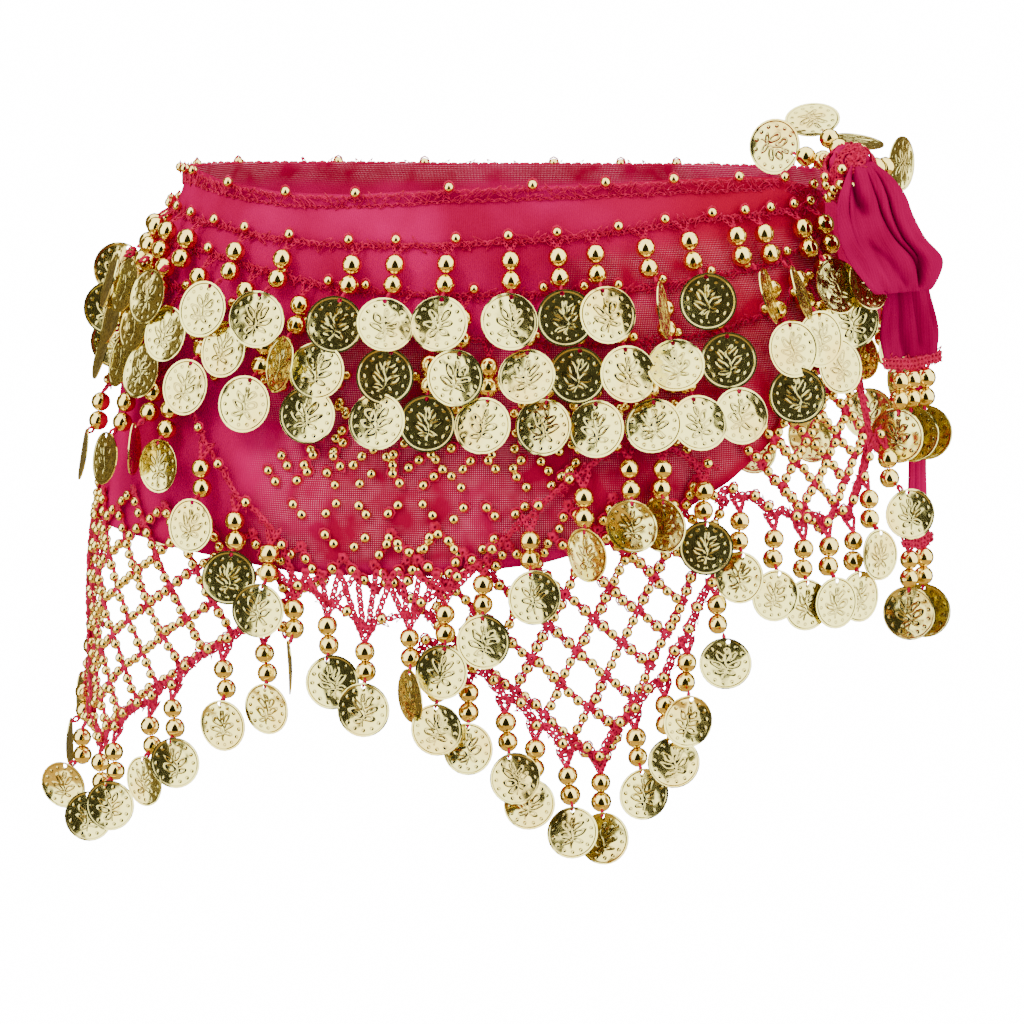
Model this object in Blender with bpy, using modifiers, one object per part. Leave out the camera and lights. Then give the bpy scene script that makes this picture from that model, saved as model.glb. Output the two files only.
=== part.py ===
"""Belly dance hip scarf, worn and tied at one side in a half bow.

The cloth is a hollow wrap that keeps the form of the hips. Crocheted lines cross it, each with
hanging drops of two beads and a coin. Open net points hang below its hem. Metres, +Z up. The
origin is the centre of the waist opening, +X is the wearer's left and -Y is the front.
"""
import bpy
import bmesh
import numpy as np
from math import cos, exp, hypot, pi, radians, sin
from mathutils import Vector

MM = 0.001

# Worn form of the hips, in millimetres
WAIST_HALF_WIDTH = 135.0
WAIST_HALF_DEPTH = 90.0
HIP_HALF_WIDTH = 178.0
HIP_HALF_DEPTH = 118.0
HIP_DROP = 180.0        # from the waist opening down to the widest level
HIP_SWELL = 1.6         # power of the curve between the two levels
SQUARENESS = 2.2        # superellipse power of every level

# Cloth and crochet, in millimetres
CLOTH = 1.4
GAP = 0.4
STRIP_THICK = 1.6
STRIP_TALL = 3.2
STRAND = 1.8
TRIM_DROP = 1.0         # from the cloth's top edge down to its edging
NET_OUT = CLOTH / 2 + GAP + STRAND / 2 + 0.3
LINE_OUT = CLOTH / 2 + GAP + STRIP_THICK / 2
OVER_NET_OUT = NET_OUT + STRAND / 2 + GAP + STRIP_THICK / 2 + 0.2
COLUMN = 7.5            # degrees between the cloth's columns
COIN_RADIUS = 11.5
TURNED_CLEARANCE = 4.6  # from the cloth's middle to a turned coin's inner edge
LAYER = 2.1             # from one layer of overlapping coins to the next

# A drop from its root down: distance, half width and half depth of each section, in millimetres
DROP = (
    ("root", 0.0, 0.6, 0.6),
    ("upper bead", 7.0, 3.6, 3.6),
    ("neck", 11.0, 0.6, 0.6),
    ("lower bead", 15.0, 3.6, 3.6),
    ("link", 19.0, 0.8, 0.35),
    ("coin shoulder", 19.6, 5.6, 0.35),
    ("coin middle", 29.9, COIN_RADIUS, 0.35),
    ("coin foot", 40.2, 5.6, 0.35),
)

# Levels by the angle round the hips: 0 is the wearer's left side, -90 the front, 90 the back.
# angle, top edge, rows 1 to 3, hem, all in degrees and millimetres
LEVELS = (
    (-205, -3, -19, -33, -48, -146),
    (-180, -2, -18, -31, -46, -149),
    (-160, -1, -18, -31, -46, -149),
    (-146, -4, -21, -32, -49, -150),
    (-130, -7, -25, -38, -56, -154),
    (-117, -7, -27, -44, -61, -158),
    (-100, -4, -26, -46, -63, -157),
    (-86, -3, -24, -45, -64, -152),
    (-72, -2, -21, -44, -65, -140),
    (-60, -1, -17, -40, -62, -121),
    (-48, -1, -16, -36, -53, -96),
    (-40, -2, -15, -31, -44, -76),
    (-33, -5, -14, -25, -35, -52),
    (-27, -8, -13, -19, -25, -34),
)
BACK_LEVELS = (
    (-19, -5, -13, -20, -27, -36),
    (-10, -4, -15, -26, -36, -50),
    (5, -4, -18, -32, -46, -64),
    (25, -5, -20, -38, -55, -84),
    (45, -6, -22, -42, -61, -108),
    (70, -7, -24, -44, -64, -124),
    (100, -7, -24, -44, -64, -130),
    (130, -5, -22, -40, -58, -140),
    (155, -3, -19, -33, -48, -146),
    (180, -2, -18, -31, -46, -149),
)
TOP, ROW_1, ROW_2, ROW_3, HEM = 1, 2, 3, 4, 5

# Folds of the cloth: angle and level of each end, spread and rise, in degrees and millimetres
FOLDS = (
    ((-46, -52), (-78, -134), 13, 3.0),
    ((-58, -96), (-100, -150), 11, 2.4),
    ((-172, -84), (-140, -140), 13, 2.0),
    ((-150, -96), (-118, -128), 12, 2.0),
    ((30, -70), (60, -110), 14, 2.4),
    ((95, -90), (140, -130), 14, 2.4),
)

# Stretches in degrees: the cloth, the crocheted lines and edging on it, and the back's drops
FRONT_SPAN = (-180.0, -27.0)
BACK_SPAN = (-18.0, 179.6)
FRONT_LINES = (-179.6, -31.0)
BACK_LINES = (-14.0, 179.6)
FRONT_TRIM = (-179.6, -28.0)
BACK_TRIM = (-17.0, 179.2)
BACK_DROPS = (-8.0, 177.0)
BACK_SWAG = (12.0, 150.0)

# How far the beads and coins stand from the cloth's middle, in millimetres
BEAD_OUT = 7.0
ROW_COIN_OUTS = {ROW_1: 17.8, ROW_2: 14.4, ROW_3: 11.2}
SWAG_OUTS = (12.4, 8.0)     # coins, beads
EDGE_OUTS = (11.6, 7.2)
ROW_SLACKS = {ROW_1: 0.0, ROW_2: 1.6, ROW_3: 2.6}   # extra thread of each row's drops
SWAG_COIN = 0.95            # the lower coins against those of the rows
EDGE_COIN = 0.91
BACK_SWAG_OUT = 2.4
BACK_SWAG_OUTS = (11.4, 7.0)
BACK_SWAG_LIFT = 6.0        # the back's swag above its hem
BACK_ROW_COUNT = 14
BACK_SWAG_COUNT = 13

# Drops of the front rows: angle round the hips, turn of the coin, sideways lean in millimetres
# and layer.
# A coin with no turn lies along the cloth, and a turn is counted from above, clockwise.
ROW_1_DROPS = (
    (-178, 0, 0, 0), (-168.4, 0, 0, 1), (-158.5, 0, 0, 0), (-149.2, 0, 0, 1), (-135.8, 0, -1, 0),
    (-126.2, 10, -2, 1), (-114.5, 0, 0, 0), (-107.8, 0, 0, 1), (-100, 0, 0, 0), (-90.3, 0, 1, 1),
    (-83, 0, 1, 0), (-77.2, 0, 0, 1), (-69.4, 56, 1, 0), (-62.2, 0, 1, 1), (-53.8, 56, 2, 0),
    (-48.4, 46, 2, 1), (-39.5, 0, 1, 0), (-33.4, 0, 0, 2),
)
ROW_2_DROPS = (
    (-173.4, 0, 0, 0), (-163.2, 0, 0, 1), (-154.2, 0, -1, 0), (-142.5, 0, -2, 1),
    (-131.7, 8, -1, 0), (-121.8, 40, -1, 1), (-115.8, 0, -2, 0), (-106.2, 0, -2, 1),
    (-97.1, 0, -1, 0), (-87.7, 0, -1, 1), (-80.6, 0, 0, 0), (-74.3, 0, -1, 1), (-67.4, 0, -1, 0),
    (-59.7, 0, -1, 1), (-49.7, 0, 0, 0), (-44, 0, 0, 0), (-36.4, 0, 0, 0),
)
ROW_3_DROPS = (
    (-177, 0, 0, 0), (-167.6, 0, 0, 1), (-158.2, 0, 0, 0), (-148.6, 0, 0, 1), (-137.7, 0, -1, 1),
    (-126.3, 0, -2, 1), (-117.7, 0, 0, 0), (-108.2, 0, 0, 1), (-101.5, 0, 0, 0), (-93.3, 0, 0, 1),
    (-85.3, 0, 0, 0), (-78.8, 0, 0, 1), (-70.8, 0, 0, 0), (-65.4, 0, -1, 1), (-58.6, 0, -2, 0),
    (-49.7, 0, -1, 1), (-40.7, 0, 0, 0),
)
# The swagged line: angle and level of each drop's root, turn of its coin, lean, layer
ROW_4_DROPS = (
    (-170, -92, 0, 0, 0), (-154.3, -88, 0, 6, 1), (-146.8, -82, 50, 6, 1), (-141.8, -88, 0, 4, 0),
    (-133.9, -110, 0, 6, 1), (-127.6, -130, 0, 6, 0), (-121.7, -142, 0, 0, 1),
    (-118, -164, 66, 1, 1), (-113.6, -170, 0, 3, 0), (-108.7, -180, 0, 2, 1),
    (-103, -174, 56, 2, 0), (-98.5, -164, 0, 1, 1), (-93.7, -152, 0, 0, 0), (-87.7, -134, 0, 0, 1),
    (-80.7, -117, 50, -1, 0), (-74.7, -106, 30, -1, 0), (-70.4, -106, 44, -3, 1),
    (-64.5, -116, 0, -4, 0),
)
# Net edges: angle and level of each drop's root, turn of its coin, lean, layer
LEFT_EDGE = (
    (-190, -205, 0, 0, 0), (-182, -222, 0, 0, 1), (-173, -238, 0, -6, 0), (-157.3, -241, 0, 6, 1),
    (-152, -234, 0, 6, 0), (-142.3, -219, 0, 6, 1), (-137.6, -210, 30, 6, 0),
    (-128.7, -191, 0, 6, 1), (-122.5, -183, 10, 6, 0),
)
CENTRE_EDGE = (
    (-99.6, -188, 0, 1, 1), (-95.5, -196, 0, 0, 0), (-91, -208, 0, 4, 1), (-87, -219, 0, -1, 0),
    (-83.2, -230, 0, 5, 1), (-78.8, -233, 0, 1, 0), (-74.5, -215, 0, 4, 1), (-70.6, -202, 0, 1, 2),
    (-67.6, -185, 0, -3, 3), (-63.8, -162, 0, 1, 4),
)
RIGHT_EDGE = (
    (-59.6, -129, 44, -6, 0), (-54.8, -137, 0, -6, 1), (-50.3, -142, 0, -6, 0),
    (-46, -142, 0, -6, 1), (-41.4, -141, 0, -6, 0), (-37.1, -125, 0, -6, 1),
    (-30.8, -110, 0, -6, 2),
)
# Open net points: apex angle and level, the steps of one cell up to the left and up to the right
# (along the cloth and up it, in millimetres), and the angles where the piece ends
NETS = (
    ("net_left", -164.0, -243.0, (-9.0, 12.4), (12.8, 8.4), -206.0, -112.0),
    ("net_centre", -78.6, -233.0, (-11.4, 10.0), (6.6, 13.0), -111.0, -61.0),
    ("net_right", -46.0, -143.0, (-8.6, 9.4), (7.6, 9.4), -60.4, -31.6),
)
NET_CELLS = 16          # most cells along a side of a point
NET_LAP = 9.0           # how far a net reaches up over the hem, in millimetres

# The knot and what hangs from it, in millimetres
KNOT_CENTRE = (141.0, -61.0, 2.0)
KNOT_RADII = (13.0, 10.0, 14.0)
# Half bow: level, then x and y of its left side and of its right side, front layer downwards
BOW_FRONT = (
    (-6, 136, -76, 147, -73),
    (-16, 133, -85, 164, -77),
    (-29, 134, -88, 169, -76),
    (-41, 138, -88, 174, -72),
    (-49, 144, -86, 176, -68),
)
BOW_BACK = (
    (-52, 147, -81, 176, -63),
    (-46, 146, -77, 175, -59),
    (-32, 142, -75, 168, -61),
    (-17, 139, -73, 158, -65),
)
TAIL_UPPER = (
    (-16, 148, -58, 158, -49),
    (-34, 150, -61, 168, -45),
    (-52, 152, -63, 173, -43),
    (-66, 151, -64, 177, -41),
    (-76, 153, -64, 177, -41),
)
TAIL_LOWER = (
    (-14, 150, -44, 156, -38),
    (-50, 160, -41, 168, -32),
    (-90, 165, -40, 173, -30),
    (-130, 166, -40, 174, -30),
    (-154, 164, -41, 176, -29),
)
# Drops of the tied ends: place along the end's crocheted strip, and the way the coin faces
TAIL_UPPER_DROPS = ((0.28, -138), (0.52, -136), (0.78, -128))
TAIL_LOWER_DROPS = ((0.25, -120), (0.8, -126))
# Drops caught in the knot: the way each one points and the way its coin faces
KNOT_DROPS = (
    ((-40, 24, 8), (0, -1, 0)),
    ((-19, 35, 20), (0, -1, 1)),
    ((4, 38, 8), (0, -1, 0.7)),
    ((22, 34, -1), (1, -0.6, 0)),
)


def table_value(rows, angle, column):
    """Read a column of a table at an angle."""
    angles = [row[0] for row in rows]
    return float(np.interp(angle, angles, [row[column] for row in rows]))


def level(angle, column):
    """Give the level of a line at an angle of the front or of the back stretch."""
    if angle > BACK_LEVELS[0][0] - 4.0:
        return table_value(BACK_LEVELS, angle, column)
    return table_value(LEVELS, angle, column)


def half_axes(height):
    """Give the half width and half depth of the hips at a height."""
    share = min(max(-height / HIP_DROP, -0.2), 1.0)
    narrowing = (1.0 - share) ** HIP_SWELL
    return (HIP_HALF_WIDTH - (HIP_HALF_WIDTH - WAIST_HALF_WIDTH) * narrowing,
            HIP_HALF_DEPTH - (HIP_HALF_DEPTH - WAIST_HALF_DEPTH) * narrowing)


def arc_table():
    """Measure the widest level all round, as angles and lengths from the front centre."""
    angles = np.arange(-360.0, 361.0, 1.0)
    turn = np.radians(angles)
    reach = (np.abs(np.cos(turn)) ** SQUARENESS
             + np.abs(np.sin(turn)) ** SQUARENESS) ** (-1.0 / SQUARENESS)
    x = HIP_HALF_WIDTH * reach * np.cos(turn)
    y = HIP_HALF_DEPTH * reach * np.sin(turn)
    lengths = np.concatenate(([0.0], np.cumsum(np.hypot(np.diff(x), np.diff(y)))))
    return angles, lengths - np.interp(-90.0, angles, lengths)


ARC_ANGLES, ARC_LENGTHS = arc_table()


def arc_length(angle):
    """Give the length round the hips from the front centre to an angle."""
    return float(np.interp(angle, ARC_ANGLES, ARC_LENGTHS))


def arc_angle(length):
    """Give the angle at a length round the hips from the front centre."""
    return float(np.interp(length, ARC_LENGTHS, ARC_ANGLES))


def fold_rise(angle, height):
    """Give how far the folds lift the cloth at a place."""
    rise = 0.0
    for start, end, spread, crest in FOLDS:
        ax, ay = arc_length(start[0]), start[1]
        bx, by = arc_length(end[0]) - ax, end[1] - ay
        px, py = arc_length(angle) - ax, height - ay
        share = min(max((px * bx + py * by) / (bx * bx + by * by), 0.0), 1.0)
        away = hypot(px - share * bx, py - share * by)
        rise += crest * exp(-(away / spread) ** 2)
    return rise


def outward(angle, height):
    """Give the level direction that points away from the hips at an angle."""
    half_width, half_depth = half_axes(height)
    turn = radians(angle)
    power = SQUARENESS - 1.0
    x = abs(cos(turn)) ** power / half_width * (1 if cos(turn) >= 0 else -1)
    y = abs(sin(turn)) ** power / half_depth * (1 if sin(turn) >= 0 else -1)
    return Vector((x, y, 0.0)).normalized()


def place(angle, height, out=0.0):
    """Give a point on the cloth's middle surface, moved outwards by a distance."""
    half_width, half_depth = half_axes(height)
    turn = radians(angle)
    reach = (abs(cos(turn)) ** SQUARENESS + abs(sin(turn)) ** SQUARENESS) ** (-1.0 / SQUARENESS)
    point = Vector((half_width * reach * cos(turn), half_depth * reach * sin(turn), height))
    return (point + outward(angle, height) * (out + fold_rise(angle, height))) * MM


def span_angles(start, end):
    """List the cloth's columns between two angles, both ends included."""
    inner = [k * COLUMN for k in range(-48, 49) if start + 1.0 < k * COLUMN < end - 1.0]
    return [start] + inner + [end]


def new_material(name, color, roughness, metallic=0.0):
    """Make a plain Principled material."""
    material = bpy.data.materials.new(name)
    material.use_nodes = True
    shader = material.node_tree.nodes["Principled BSDF"]
    shader.inputs["Base Color"].default_value = (*color, 1.0)
    shader.inputs["Roughness"].default_value = roughness
    shader.inputs["Metallic"].default_value = metallic
    return material


def add_mesh(name, points, faces, group, material=None):
    """Add a mesh object to a collection."""
    mesh = bpy.data.meshes.new(name)
    mesh.from_pydata([tuple(point) for point in points], [], faces)
    mesh.update()
    if material:
        mesh.materials.append(material)
    item = bpy.data.objects.new(name, mesh)
    group.objects.link(item)
    return item


def add_solidify(item, thickness):
    """Give an open surface its wall, half to each side."""
    wall = item.modifiers.new("wall", "SOLIDIFY")
    wall.thickness = thickness * MM
    wall.offset = 0.0
    wall.use_even_offset = True


def add_union(item, tool):
    """Join a hidden tool to an object."""
    tool.hide_render = True
    tool.display_type = "WIRE"
    join = item.modifiers.new("union", "BOOLEAN")
    join.operation = "UNION"
    join.object = tool


def sheet(name, rows, group, material, thickness=CLOTH):
    """Add a cloth wall through rows of points."""
    width = len(rows[0])
    points = [point for row in rows for point in row]
    faces = [(r * width + c, r * width + c + 1, (r + 1) * width + c + 1, (r + 1) * width + c)
             for r in range(len(rows) - 1) for c in range(width - 1)]
    item = add_mesh(name, points, faces, group, material)
    add_solidify(item, thickness)
    return item


def add_cloth(name, span, group, material):
    """Add a stretch of the wrapped cloth, with a row of points at each crocheted line."""
    columns = span_angles(*span)
    rows = []
    for upper, lower, share in ((TOP, ROW_1, 0.0), (ROW_1, ROW_2, 0.0), (ROW_2, ROW_3, 0.0),
                                (ROW_3, HEM, 0.0), (ROW_3, HEM, 0.33), (ROW_3, HEM, 0.67),
                                (ROW_3, HEM, 1.0)):
        rows.append([place(angle, level(angle, upper) * (1 - share) + level(angle, lower) * share)
                     for angle in columns])
    return sheet(name, rows, group, material)


def strip_points(route, out):
    """Give the four corners of a crocheted strip at each place of its route."""
    rings = []
    for angle, height in route:
        rings.append([place(angle, height + tall * STRIP_TALL / 2, out + deep * STRIP_THICK / 2)
                      for tall, deep in ((1, -1), (1, 1), (-1, 1), (-1, -1))])
    return rings


def loft(name, rings, group, material=None):
    """Add a closed body through rings of the same number of points."""
    count = len(rings[0])
    points = [point for ring in rings for point in ring]
    faces = [(r * count + k, (r + 1) * count + k, (r + 1) * count + (k + 1) % count,
              r * count + (k + 1) % count)
             for r in range(len(rings) - 1) for k in range(count)]
    faces.append(tuple(range(count)))
    faces.append(tuple((len(rings) - 1) * count + k for k in reversed(range(count))))
    item = add_mesh(name, points, faces, group, material)
    tidy_normals(item.data)
    return item


def tidy_normals(mesh):
    """Turn all faces of a closed mesh outwards."""
    work = bmesh.new()
    work.from_mesh(mesh)
    bmesh.ops.recalc_face_normals(work, faces=work.faces)
    work.to_mesh(mesh)
    work.free()


def drop_sections(slack, coin_size):
    """List a drop's sections, its thread longer by a slack and its coin scaled."""
    hole = DROP[4][1]
    for label, below, half_width, half_depth in DROP:
        if "coin" in label:
            below, half_width = hole + (below - hole) * coin_size, half_width * coin_size
        yield label, below + (slack if below else 0.0), half_width, half_depth


def drop_rings(angle, height, turn, lean, root_out, bead_out, coin_out, slack, coin_size):
    """Give the sections of a drop that hangs down the outside of the hips."""
    rings = []
    reach = {"root": root_out, "upper bead": bead_out, "neck": bead_out, "lower bead": bead_out}
    last = DROP[-1][1]
    coin_out = max(coin_out, TURNED_CLEARANCE + COIN_RADIUS * abs(sin(radians(turn))))
    for label, below, half_width, half_depth in drop_sections(slack, coin_size):
        low = height - below
        centre = place(angle, low, reach.get(label, coin_out))
        normal = outward(angle, low)
        twist = radians(turn) if "coin" in label else 0.0
        across = Vector((-normal.y, normal.x, 0.0))
        wide = across * cos(twist) + normal * sin(twist)
        deep = normal * cos(twist) - across * sin(twist)
        centre = centre + across * (lean * below / last * MM)
        rings.append([centre + (wide * (a * half_width) + deep * (b * half_depth)) * MM
                      for a, b in ((-1, -1), (1, -1), (1, 1), (-1, 1))])
    return rings


def join_lofts(name, ring_sets, group):
    """Add one mesh that holds a closed body for each set of rings."""
    points, faces = [], []
    for rings in ring_sets:
        base = len(points)
        count = len(rings[0])
        points += [point for ring in rings for point in ring]
        faces += [tuple(base + v for v in (r * count + k, (r + 1) * count + k,
                                           (r + 1) * count + (k + 1) % count,
                                           r * count + (k + 1) % count))
                  for r in range(len(rings) - 1) for k in range(count)]
        faces.append(tuple(base + k for k in range(count)))
        faces.append(tuple(base + (len(rings) - 1) * count + k for k in reversed(range(count))))
    item = add_mesh(name, points, faces, group)
    tidy_normals(item.data)
    return item


def add_drop_row(name, route, drops, group, cutters, material, out, coin_out, bead_out,
                 slack=0.0, coin_size=1.0):
    """Add a crocheted strip with its drops fused to it."""
    strip = loft(name, strip_points(route, out), group, material)
    ring_sets = []
    for angle, height, turn, lean, layer in drops:
        ring_sets.append(drop_rings(angle, height, turn, lean, out, bead_out,
                                    coin_out + layer * LAYER, slack, coin_size))
    add_union(strip, join_lofts(name + "_hanging", ring_sets, cutters))
    return strip


def line_route(span, column):
    """List the places of a crocheted line along one of the cloth's levels."""
    return [(angle, level(angle, column)) for angle in span_angles(*span)]


def even_drops(span, column, count, shift):
    """Spread drops evenly along a line of the back, the first a part of a step in."""
    first, last = arc_length(span[0]), arc_length(span[1])
    angles = [arc_angle(first + (last - first) * (k + shift) / count) for k in range(count)]
    return [(angle, level(angle, column), 0, 0, k % 2) for k, angle in enumerate(angles)]


def add_rows(group, cutters, material):
    """Add the three level lines of drops, front and back."""
    tables = {ROW_1: ROW_1_DROPS, ROW_2: ROW_2_DROPS, ROW_3: ROW_3_DROPS}
    for column, table in tables.items():
        drops = [(angle, level(angle, column), turn, lean, layer)
                 for angle, turn, lean, layer in table]
        add_drop_row(f"row_{column - 1}_front", line_route(FRONT_LINES, column), drops,
                     group, cutters, material, LINE_OUT, ROW_COIN_OUTS[column], BEAD_OUT,
                     ROW_SLACKS[column])
        back = even_drops(BACK_DROPS, column, BACK_ROW_COUNT, 0.9 if column == ROW_2 else 0.4)
        add_drop_row(f"row_{column - 1}_back", line_route(BACK_LINES, column), back,
                     group, cutters, material, LINE_OUT, ROW_COIN_OUTS[column], BEAD_OUT,
                     ROW_SLACKS[column])


def add_trims(group, material):
    """Add the crocheted edging along the top edge, front and back."""
    for name, span in (("trim_front", FRONT_TRIM), ("trim_back", BACK_TRIM)):
        route = [(angle, height - STRIP_TALL / 2 - TRIM_DROP)
                 for angle, height in line_route(span, TOP)]
        loft(name, strip_points(route, LINE_OUT), group, material)


def edge_route(drops, start, end):
    """List the places of a net edge or swag: its ends and the roots of its drops."""
    angles = [start] + [drop[0] for drop in drops] + [end]
    angles += [(first + last) / 2 for first, last in zip(angles, angles[1:]) if last - first > 8]
    angles.sort()
    return [(angle, table_value(drops, angle, 1)) for angle in angles]


def add_edges(group, cutters, material):
    """Add the swagged line and the net edges with their drops."""
    for name, drops, start, end, outs, coin_size in (
            ("row_4_front", ROW_4_DROPS, -174.0, -62.5, SWAG_OUTS, SWAG_COIN),
            ("edge_left", LEFT_EDGE, -193.0, -119.5, EDGE_OUTS, EDGE_COIN),
            ("edge_centre", CENTRE_EDGE, -101.6, -63.0, EDGE_OUTS, EDGE_COIN),
            ("edge_right", RIGHT_EDGE, -62.2, -32.4, EDGE_OUTS, EDGE_COIN)):
        add_drop_row(name, edge_route(drops, start, end), drops, group, cutters, material,
                     OVER_NET_OUT, *outs, 0.0, coin_size)
    drops = [(angle, height + BACK_SWAG_LIFT, turn, lean, layer)
             for angle, height, turn, lean, layer
             in even_drops(BACK_SWAG, HEM, BACK_SWAG_COUNT, 0.5)]
    route = [(angle, height + BACK_SWAG_LIFT) for angle, height in line_route(BACK_SWAG, HEM)]
    add_drop_row("row_4_back", route, drops, group, cutters, material, BACK_SWAG_OUT,
                 *BACK_SWAG_OUTS)


def add_net(name, apex, apex_level, left_step, right_step, left_end, right_end, group, material):
    """Add an open net point: a lattice of cells whose sides run along the point's two edges."""
    start = arc_length(apex)
    points, numbers, faces = [], {}, []

    def corner(i, j):
        """Give the place of a crossing as length along the cloth and level."""
        return (start + i * left_step[0] + j * right_step[0],
                apex_level + i * left_step[1] + j * right_step[1])

    def number(i, j):
        """Number a crossing, adding its point the first time."""
        if (i, j) not in numbers:
            along, height = corner(i, j)
            numbers[(i, j)] = len(points)
            points.append(place(arc_angle(along), height, NET_OUT))
        return numbers[(i, j)]

    for i in range(NET_CELLS):
        for j in range(NET_CELLS):
            corners = [corner(i, j), corner(i, j + 1), corner(i + 1, j + 1), corner(i + 1, j)]
            angles = [arc_angle(along) for along, height in corners]
            middle = arc_angle(sum(along for along, height in corners) / 4)
            roof = level(middle, HEM) + NET_LAP
            if (min(angles) > left_end and max(angles) < right_end
                    and sum(height for along, height in corners) / 4 < roof):
                faces.append((number(i, j), number(i, j + 1), number(i + 1, j + 1),
                              number(i + 1, j)))
    item = add_mesh(name, points, faces, group, material)
    wires = item.modifiers.new("strands", "WIREFRAME")
    wires.thickness = STRAND * MM
    wires.use_replace = True
    wires.use_boundary = True
    wires.use_even_offset = False
    return item


def straight_drop(root, down, face):
    """Give the sections of a drop that points one way from its root, its coin facing another."""
    across = down.cross(face).normalized()
    deep = across.cross(down).normalized()
    rings = []
    for label, below, half_width, half_depth in DROP:
        centre = root + down * below
        rings.append([(centre + across * (a * half_width) + deep * (b * half_depth)) * MM
                      for a, b in ((-1, -1), (1, -1), (1, 1), (-1, 1))])
    return rings


def add_bow(group, material):
    """Add the half bow's loop: a pleated sheet that turns back on itself at the bottom."""
    return add_pleated("bow_loop", BOW_FRONT + BOW_BACK, 8, 2.2, 3, group, material)


def add_pleated(name, table, columns, rise, pleats, group, material):
    """Add a sheet between two sides, with pleats that open out downwards."""
    rows = []
    for z, left_x, left_y, right_x, right_y in table:
        left, right = Vector((left_x, left_y, z)), Vector((right_x, right_y, z))
        side = right - left
        facing = Vector((side.y, -side.x, 0.0)).normalized()
        rows.append([(left + side * (k / columns)
                      + facing * (rise * sin(pleats * pi * k / columns) * side.length / 40.0)) * MM
                     for k in range(columns + 1)])
    return sheet(name, rows, group, material)


def add_tail(name, table, drops, group, cutters, cloth, metal):
    """Add a tied end, and below it its crocheted end with the drops fused to it."""
    add_pleated(name, table, 4, 1.0, 2, group, cloth)
    z, left_x, left_y, right_x, right_y = table[-1]
    low = z - CLOTH / 2 - GAP - STRIP_TALL / 2
    side = Vector((right_x - left_x, right_y - left_y, 0.0))
    facing = Vector((side.y, -side.x, 0.0)).normalized() * (STRIP_THICK / 2)
    rings = []
    for x, y in ((left_x, left_y), (right_x, right_y)):
        centre = Vector((x, y, low))
        tall = Vector((0.0, 0.0, STRIP_TALL / 2))
        rings.append([(centre + tall * a + facing * b) * MM
                      for a, b in ((1, -1), (1, 1), (-1, 1), (-1, -1))])
    strip = loft(name + "_drops", rings, group, metal)
    down = Vector((0.0, 0.0, -1.0))
    hanging = []
    for share, facing_angle in drops:
        turn = radians(facing_angle)
        root = Vector((left_x, left_y, low)) + side * share
        hanging.append(straight_drop(root, down, Vector((cos(turn), sin(turn), 0.0))))
    add_union(strip, join_lofts(name + "_hanging", hanging, cutters))
    return strip


def add_knot(group, cutters, material):
    """Add the tied knot with the drops that are caught in it."""
    bpy.ops.mesh.primitive_ico_sphere_add(subdivisions=2, radius=1.0)
    knot = bpy.context.object
    knot.name = "knot"
    for vertex in knot.data.vertices:
        vertex.co = [(centre + value * radius) * MM for centre, value, radius
                     in zip(KNOT_CENTRE, vertex.co, KNOT_RADII)]
    knot.data.materials.append(material)
    for other in list(knot.users_collection):
        other.objects.unlink(knot)
    group.objects.link(knot)
    hanging = []
    for way, face in KNOT_DROPS:
        direction = Vector(way).normalized()
        root = Vector(KNOT_CENTRE) + Vector([w * r * 0.7 for w, r in zip(direction, KNOT_RADII)])
        hanging.append(straight_drop(root, direction, Vector(face)))
    add_union(knot, join_lofts("knot_hanging", hanging, cutters))
    return knot


def main():
    """Build the whole scarf."""
    for item in list(bpy.data.objects):
        bpy.data.objects.remove(item, do_unlink=True)
    scarf = bpy.data.collections.new("belly_dance_hip_scarf")
    cutters = bpy.data.collections.new("cutters")
    bpy.context.scene.collection.children.link(scarf)
    bpy.context.scene.collection.children.link(cutters)
    velvet = new_material("velvet", (0.62, 0.01, 0.12), 0.75)
    crochet = new_material("crochet", (0.66, 0.02, 0.10), 0.8)
    gold = new_material("gold", (0.83, 0.66, 0.30), 0.2, 1.0)
    add_cloth("cloth_front", FRONT_SPAN, scarf, velvet)
    add_cloth("cloth_back", BACK_SPAN, scarf, velvet)
    add_trims(scarf, crochet)
    add_rows(scarf, cutters, gold)
    add_edges(scarf, cutters, gold)
    for net in NETS:
        add_net(*net, scarf, crochet)
    add_knot(scarf, cutters, crochet)
    add_bow(scarf, velvet)
    add_tail("tail_upper", TAIL_UPPER, TAIL_UPPER_DROPS, scarf, cutters, velvet, gold)
    add_tail("tail_lower", TAIL_LOWER, TAIL_LOWER_DROPS, scarf, cutters, velvet, gold)


main()
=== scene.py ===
"""Looks of the belly dance hip scarf.

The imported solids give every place. Each class below dresses one part of the scarf: the wrapped
velvet cloth, the crocheted lines, the drops of beads and coins, the open nets, and the knot with
its half bow and tied ends. Lengths in the tables are millimetres, angles are degrees round the
hips: 0 is the wearer's left side, -90 the front and 90 the back.
"""
import logging
from collections.abc import Callable
from dataclasses import dataclass, field
from enum import Enum
from math import cos, pi, radians, sin

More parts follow.
